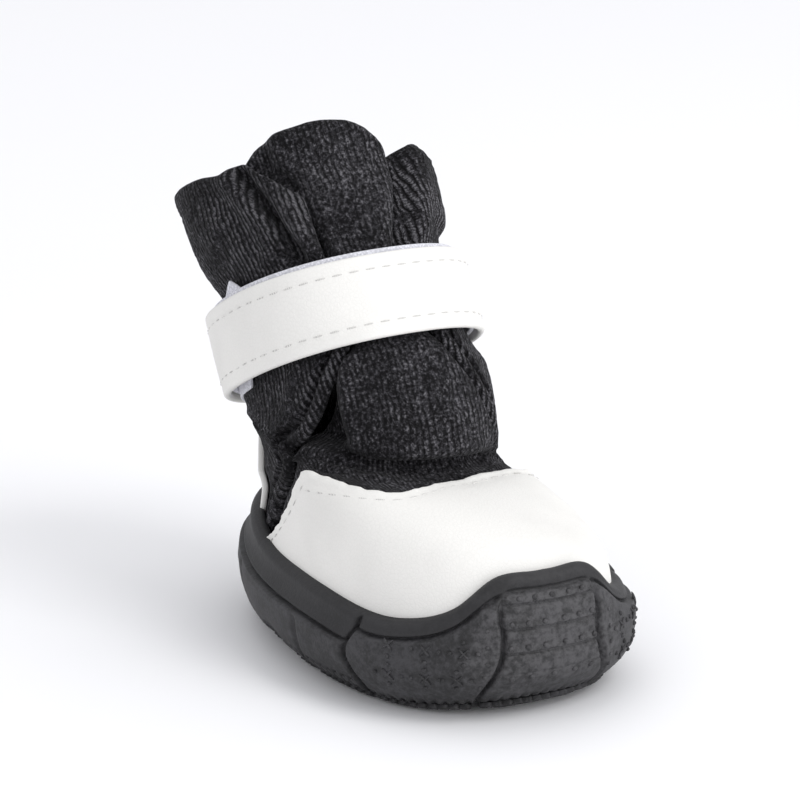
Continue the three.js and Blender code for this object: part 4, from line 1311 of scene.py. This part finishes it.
def loop_mesh(name, material, low, high, inside, thick, bow=0.0, grooves=()):
    """A closed loop of strap or tape with rounded edges."""
    turns = np.linspace(-180, 180, 241)[:-1]
    width = high - low
    share = edge_steps(width / LEAN_COS, thick, 0.45, fine=5, band=2.4, band_step=0.3)
    rise = low + width * share
    run = width / LEAN_COS * share
    edge = np.minimum(run, run[-1] - run)
    r = thick / 2
    half = r * np.sqrt(np.clip(1 - (1 - np.clip(edge / r, 0, 1)) ** 2, 0, 1))
    turn, up = np.meshgrid(turns, rise)
    wave = bow * np.sin(np.radians(turn) * 3 + 0.6) * 0.12
    base = inside + r + bow * (1 - (2 * share - 1) ** 2)[:, None] + wave
    groove = np.zeros_like(edge)
    for place in grooves:
        groove += 0.10 * np.exp(-((edge - place) / 0.3) ** 2)
    outer = strap_point(turn, up, base + (half - groove)[:, None])
    inner = strap_point(turn, up, base - half[:, None])
    points = np.concatenate([outer.reshape(-1, 3), inner[1:-1].reshape(-1, 3)])
    rows, columns = outer.shape[:2]
    faces = grid_faces(rows, columns, loop=True)
    start = rows * columns
    faces += grid_faces(rows - 2, columns, start, loop=True, flip=True)
    for c in range(columns):
        d = (c + 1) % columns
        faces.append((c, start + c, start + d, d))
        top, far = (rows - 1) * columns, start + (rows - 3) * columns
        faces.append((top + c, top + d, far + d, far + c))
    return mesh_object(name, points, faces, material)


def strap_stitch_paths():
    """Two paths round the strap, a stitch inset in from its edges."""
    inset = bpy.context.scene.boot_sizes.stitch_inset / MM * LEAN_COS
    return [strap_point(np.linspace(-180, 180, 181), rise, STRAP_OFF + STRAP_THICK + 0.05)
            for rise in (STRAP_LOW + inset, STRAP_HIGH - inset)]


# Edges of the hook tape on the boot's own right: angle round the shaft and rise up it.
TAB_LOW = [(-130, 12.7), (-114, 12.8), (-96, 12.9)]
TAB_HIGH = [(-108, 25.6), (-99, 26.1), (-91, 27.7)]
TAB_BACK = [(-130, 12.7), (-120, 19.0), (-108, 25.6)]
TAB_FRONT = [(-96, 12.9), (-88, 19.0), (-84, 24.6), (-91, 27.7)]


def tab_mesh(material):
    """The slanted hook tape under the strap; its upper corner leans away from the knit."""
    even = np.linspace(0, 1, 30)

    def along(path):
        path = round_path(path, 8)
        return np.stack([np.interp(even, np.linspace(0, 1, len(path)), path[:, k])
                         for k in (0, 1)], -1)

    grid = coons(along(TAB_LOW), along(TAB_HIGH), along(TAB_BACK), along(TAB_FRONT))
    grid = respaced(grid, *(edge_steps(length, HOOK_THICK, 0.4, fine=4, band=1.5)
                            for length in (10.0, 19.0)))
    above = np.clip(grid[..., 1] - STRAP_HIGH, 0, None)
    middle = strap_point(grid[..., 0], grid[..., 1], -0.45 + 0.22 * above)
    normal = grid_normals(middle)
    outer, inner, _ = sheet_points(middle, normal, HOOK_THICK)
    return sheet_object("hook_tape", outer, inner, material)


# ---- operators ------------------------------------------------------------------------------
FINISHES = {}


def finish(key):
    """The material of one finish, made the first time it is asked for."""
    if key not in FINISHES:
        colours = bpy.context.scene.boot_colours
        knit = (linear(colours.knit_dark), linear(colours.knit_light), linear((0.43, 0.425, 0.44)))
        makers = {
            "rubber": lambda: rubber_finish("Moulded rubber", tuple(colours.rubber)),
            "knit": lambda: knit_finish("Ribbed knit", knit, 0.8),
            "soft_knit": lambda: knit_finish("Brushed knit", knit, 0.35),
            "leather": lambda: leather_finish("White leather", tuple(colours.leather)),
            "tape": lambda: tape_finish("Hook and loop tape", tuple(colours.tape)),
            "thread": lambda: thread_finish("White thread", (0.90, 0.895, 0.88)),
            "foam": lambda: tape_finish("Foam insole", (0.16, 0.16, 0.17), False),
        }
        FINISHES[key] = makers[key]()
    return FINISHES[key]


def placed(obj, slot, *nodes):
    """The piece rides with the boot and stands for its CAD nodes; the slot is not used."""
    if nodes:
        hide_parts(*nodes)
    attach(obj, "root")
    return obj


class BOOT_OT_sole(bpy.types.Operator):
    """Adds the moulded cup sole with its rim, side panels and toe bumper"""
    bl_idname = "boot.sole"
    bl_label = "Sole"

    def execute(self, context):
        placed(sole_mesh(finish("rubber")), "sole_rubber", "sole")
        return {"FINISHED"}


class BOOT_OT_tread(bpy.types.Operator):
    """Adds the tread's lugs and the small moulded marks of the sidewall"""
    bl_idname = "boot.tread"
    bl_label = "Tread and marks"

    def execute(self, context):
        lugs = marks_run(tread_marks() + foot_marks(), "tread_lugs", lug_shape())
        lugs.data.set_sharp_from_angle(angle=math.radians(50))
        placed(lugs, "sole_rubber")
        placed(marks_run(panel_marks(), "sidewall_marks", dot_shape()), "sole_rubber")
        return {"FINISHED"}


class BOOT_OT_insole(bpy.types.Operator):
    """Gives the flat foam insole its finish"""
    bl_idname = "boot.insole"
    bl_label = "Insole"

    def execute(self, context):
        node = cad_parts["insole"]
        node.data.materials.clear()
        node.data.materials.append(finish("foam"))
        return {"FINISHED"}


class BOOT_OT_upper(bpy.types.Operator):
    """Adds the knit: the quarters with their rolled hems, and the vamp with its front panel"""
    bl_idname = "boot.upper"
    bl_label = "Upper"

    def execute(self, context):
        placed(quarters_mesh(finish("knit")), "knit", "upper")
        placed(front_panel_mesh(finish("soft_knit")), "knit", "tongue")
        return {"FINISHED"}


class BOOT_OT_leather(bpy.types.Operator):
    """Adds the toe cap and the heel patch"""
    bl_idname = "boot.leather"
    bl_label = "Toe cap and heel patch"

    def execute(self, context):
        placed(cap_mesh(finish("leather")), "white_leather", "toe_cap")
        placed(patch_mesh(finish("leather")), "white_leather", "heel_patch")
        return {"FINISHED"}


class BOOT_OT_strap(bpy.types.Operator):
    """Adds the ankle strap with the loop tape behind it"""
    bl_idname = "boot.strap"
    bl_label = "Strap"

    def execute(self, context):
        strap = loop_mesh("strap_leather", finish("leather"), STRAP_LOW, STRAP_HIGH, STRAP_OFF,
                          STRAP_THICK, bow=0.12, grooves=(GROOVE_AT,))
        placed(strap, "white_leather", "strap")
        tape = loop_mesh("strap_tape", finish("tape"), STRAP_LOW + TAPE_PROUD,
                         STRAP_HIGH + TAPE_PROUD, 0.0, TAPE_THICK)
        placed(tape, "grey_tape", "strap_backing")
        placed(tab_mesh(finish("tape")), "grey_tape", "hook_tab")
        return {"FINISHED"}


class BOOT_OT_stitches(bpy.types.Operator):
    """Adds the thread along the edges of the strap and the toe cap"""
    bl_idname = "boot.stitches"
    bl_label = "Stitches"

    def execute(self, context):
        tree = stitch_tree()
        sizes = context.scene.boot_sizes
        for name, paths in (("strap_stitches", strap_stitch_paths()),
                            ("cap_stitches", cap_stitch_paths())):
            thread = run_tree(tree, path_object(paths), name, {
                "Pitch": sizes.stitch_pitch, "Length": sizes.stitch_pitch * 0.62,
                "Thickness": THREAD, "Material": finish("thread")})
            placed(thread, "white_leather")
        return {"FINISHED"}


# Lamps: name, place, size and power, in metres and watts.
LAMPS = (("key", (0.3, -0.5, 0.75), 0.40, 2.2), ("front", (0.45, -0.85, 0.26), 0.5, 2.4),
         ("fill", (-0.7, -0.35, 0.45), 0.6, 0.3), ("top", (0.25, 0.35, 0.9), 0.8, 1.2))
LAMPS_AIM = (0, 0.008, 0.035)
VIEW = (-29.3, 18.8)            # azimuth and elevation
VIEW_FROM = (0, 0, 0.012)       # the point the camera's distance is measured from
VIEW_AIM = (-0.001, 0.006, 0.0375)
VIEW_DISTANCE = 0.70
LENS = 205.0


class BOOT_OT_stage(bpy.types.Operator):
    """Adds a plain pale floor, soft lights and the camera"""
    bl_idname = "boot.stage"
    bl_label = "Stage"

    def execute(self, context):
        scene = context.scene
        bpy.ops.mesh.primitive_plane_add(size=6.0, location=(0, 0, 0))
        floor = context.active_object
        floor.name = "floor"
        floor.data.materials.append(floor_finish("Pale floor", (0.985, 0.985, 0.99)))

        world = bpy.data.worlds.new("Studio")
        scene.world = world
        world.use_nodes = True
        back = world.node_tree.nodes["Background"]
        back.inputs["Color"].default_value = (0.965, 0.97, 1.0, 1)
        back.inputs["Strength"].default_value = 0.80
        for name, place, size, power in LAMPS:
            data = bpy.data.lights.new(name, "AREA")
            data.size = size
            data.energy = power
            light = bpy.data.objects.new(name, data)
            scene.collection.objects.link(light)
            light.location = place
            towards = Vector(LAMPS_AIM) - light.location
            light.rotation_euler = towards.to_track_quat("-Z", "Y").to_euler()

        azimuth, elevation = map(math.radians, VIEW)
        away = Vector((math.sin(azimuth) * math.cos(elevation),
                       -math.cos(azimuth) * math.cos(elevation), math.sin(elevation)))
        data = bpy.data.cameras.new("camera")
        camera = bpy.data.objects.new("camera", data)
        scene.collection.objects.link(camera)
        camera.location = Vector(VIEW_FROM) + away * VIEW_DISTANCE
        camera.rotation_mode = "QUATERNION"
        towards = Vector(VIEW_AIM) - camera.location
        camera.rotation_quaternion = towards.to_track_quat("-Z", "Y")
        data.lens = LENS
        data.sensor_width = 36.0
        data.clip_start = 0.05
        scene.camera = camera
        scene.view_settings.view_transform = "Standard"
        return {"FINISHED"}


class BOOT_PT_sidebar(bpy.types.Panel):
    """Sizes, colours and pieces of the boot"""
    bl_label = "Dog boot"
    bl_idname = "BOOT_PT_sidebar"
    bl_space_type = "VIEW_3D"
    bl_region_type = "UI"
    bl_category = "Dog boot"

    def draw(self, context):
        layout = self.layout
        for group in (context.scene.boot_sizes, context.scene.boot_colours):
            box = layout.box()
            for key in group.bl_rna.properties.keys():
                if key not in {"rna_type", "name"}:
                    box.prop(group, key)
        for operator in PIECES:
            layout.operator(operator.bl_idname)


PIECES = (BOOT_OT_stage, BOOT_OT_sole, BOOT_OT_tread, BOOT_OT_insole, BOOT_OT_upper,
          BOOT_OT_leather, BOOT_OT_strap, BOOT_OT_stitches)
CLASSES = (BootColours, BootSizes, *PIECES, BOOT_PT_sidebar)


def register():
    for item in CLASSES:
        bpy.utils.register_class(item)
    bpy.types.Scene.boot_colours = bpy.props.PointerProperty(type=BootColours)
    bpy.types.Scene.boot_sizes = bpy.props.PointerProperty(type=BootSizes)


def unregister():
    del bpy.types.Scene.boot_colours
    del bpy.types.Scene.boot_sizes
    for item in reversed(CLASSES):
        bpy.utils.unregister_class(item)


def main():
    register()
    for operator in PIECES:
        getattr(bpy.ops.boot, operator.bl_idname.split(".")[1])()


if __name__ == "__main__":
    main()
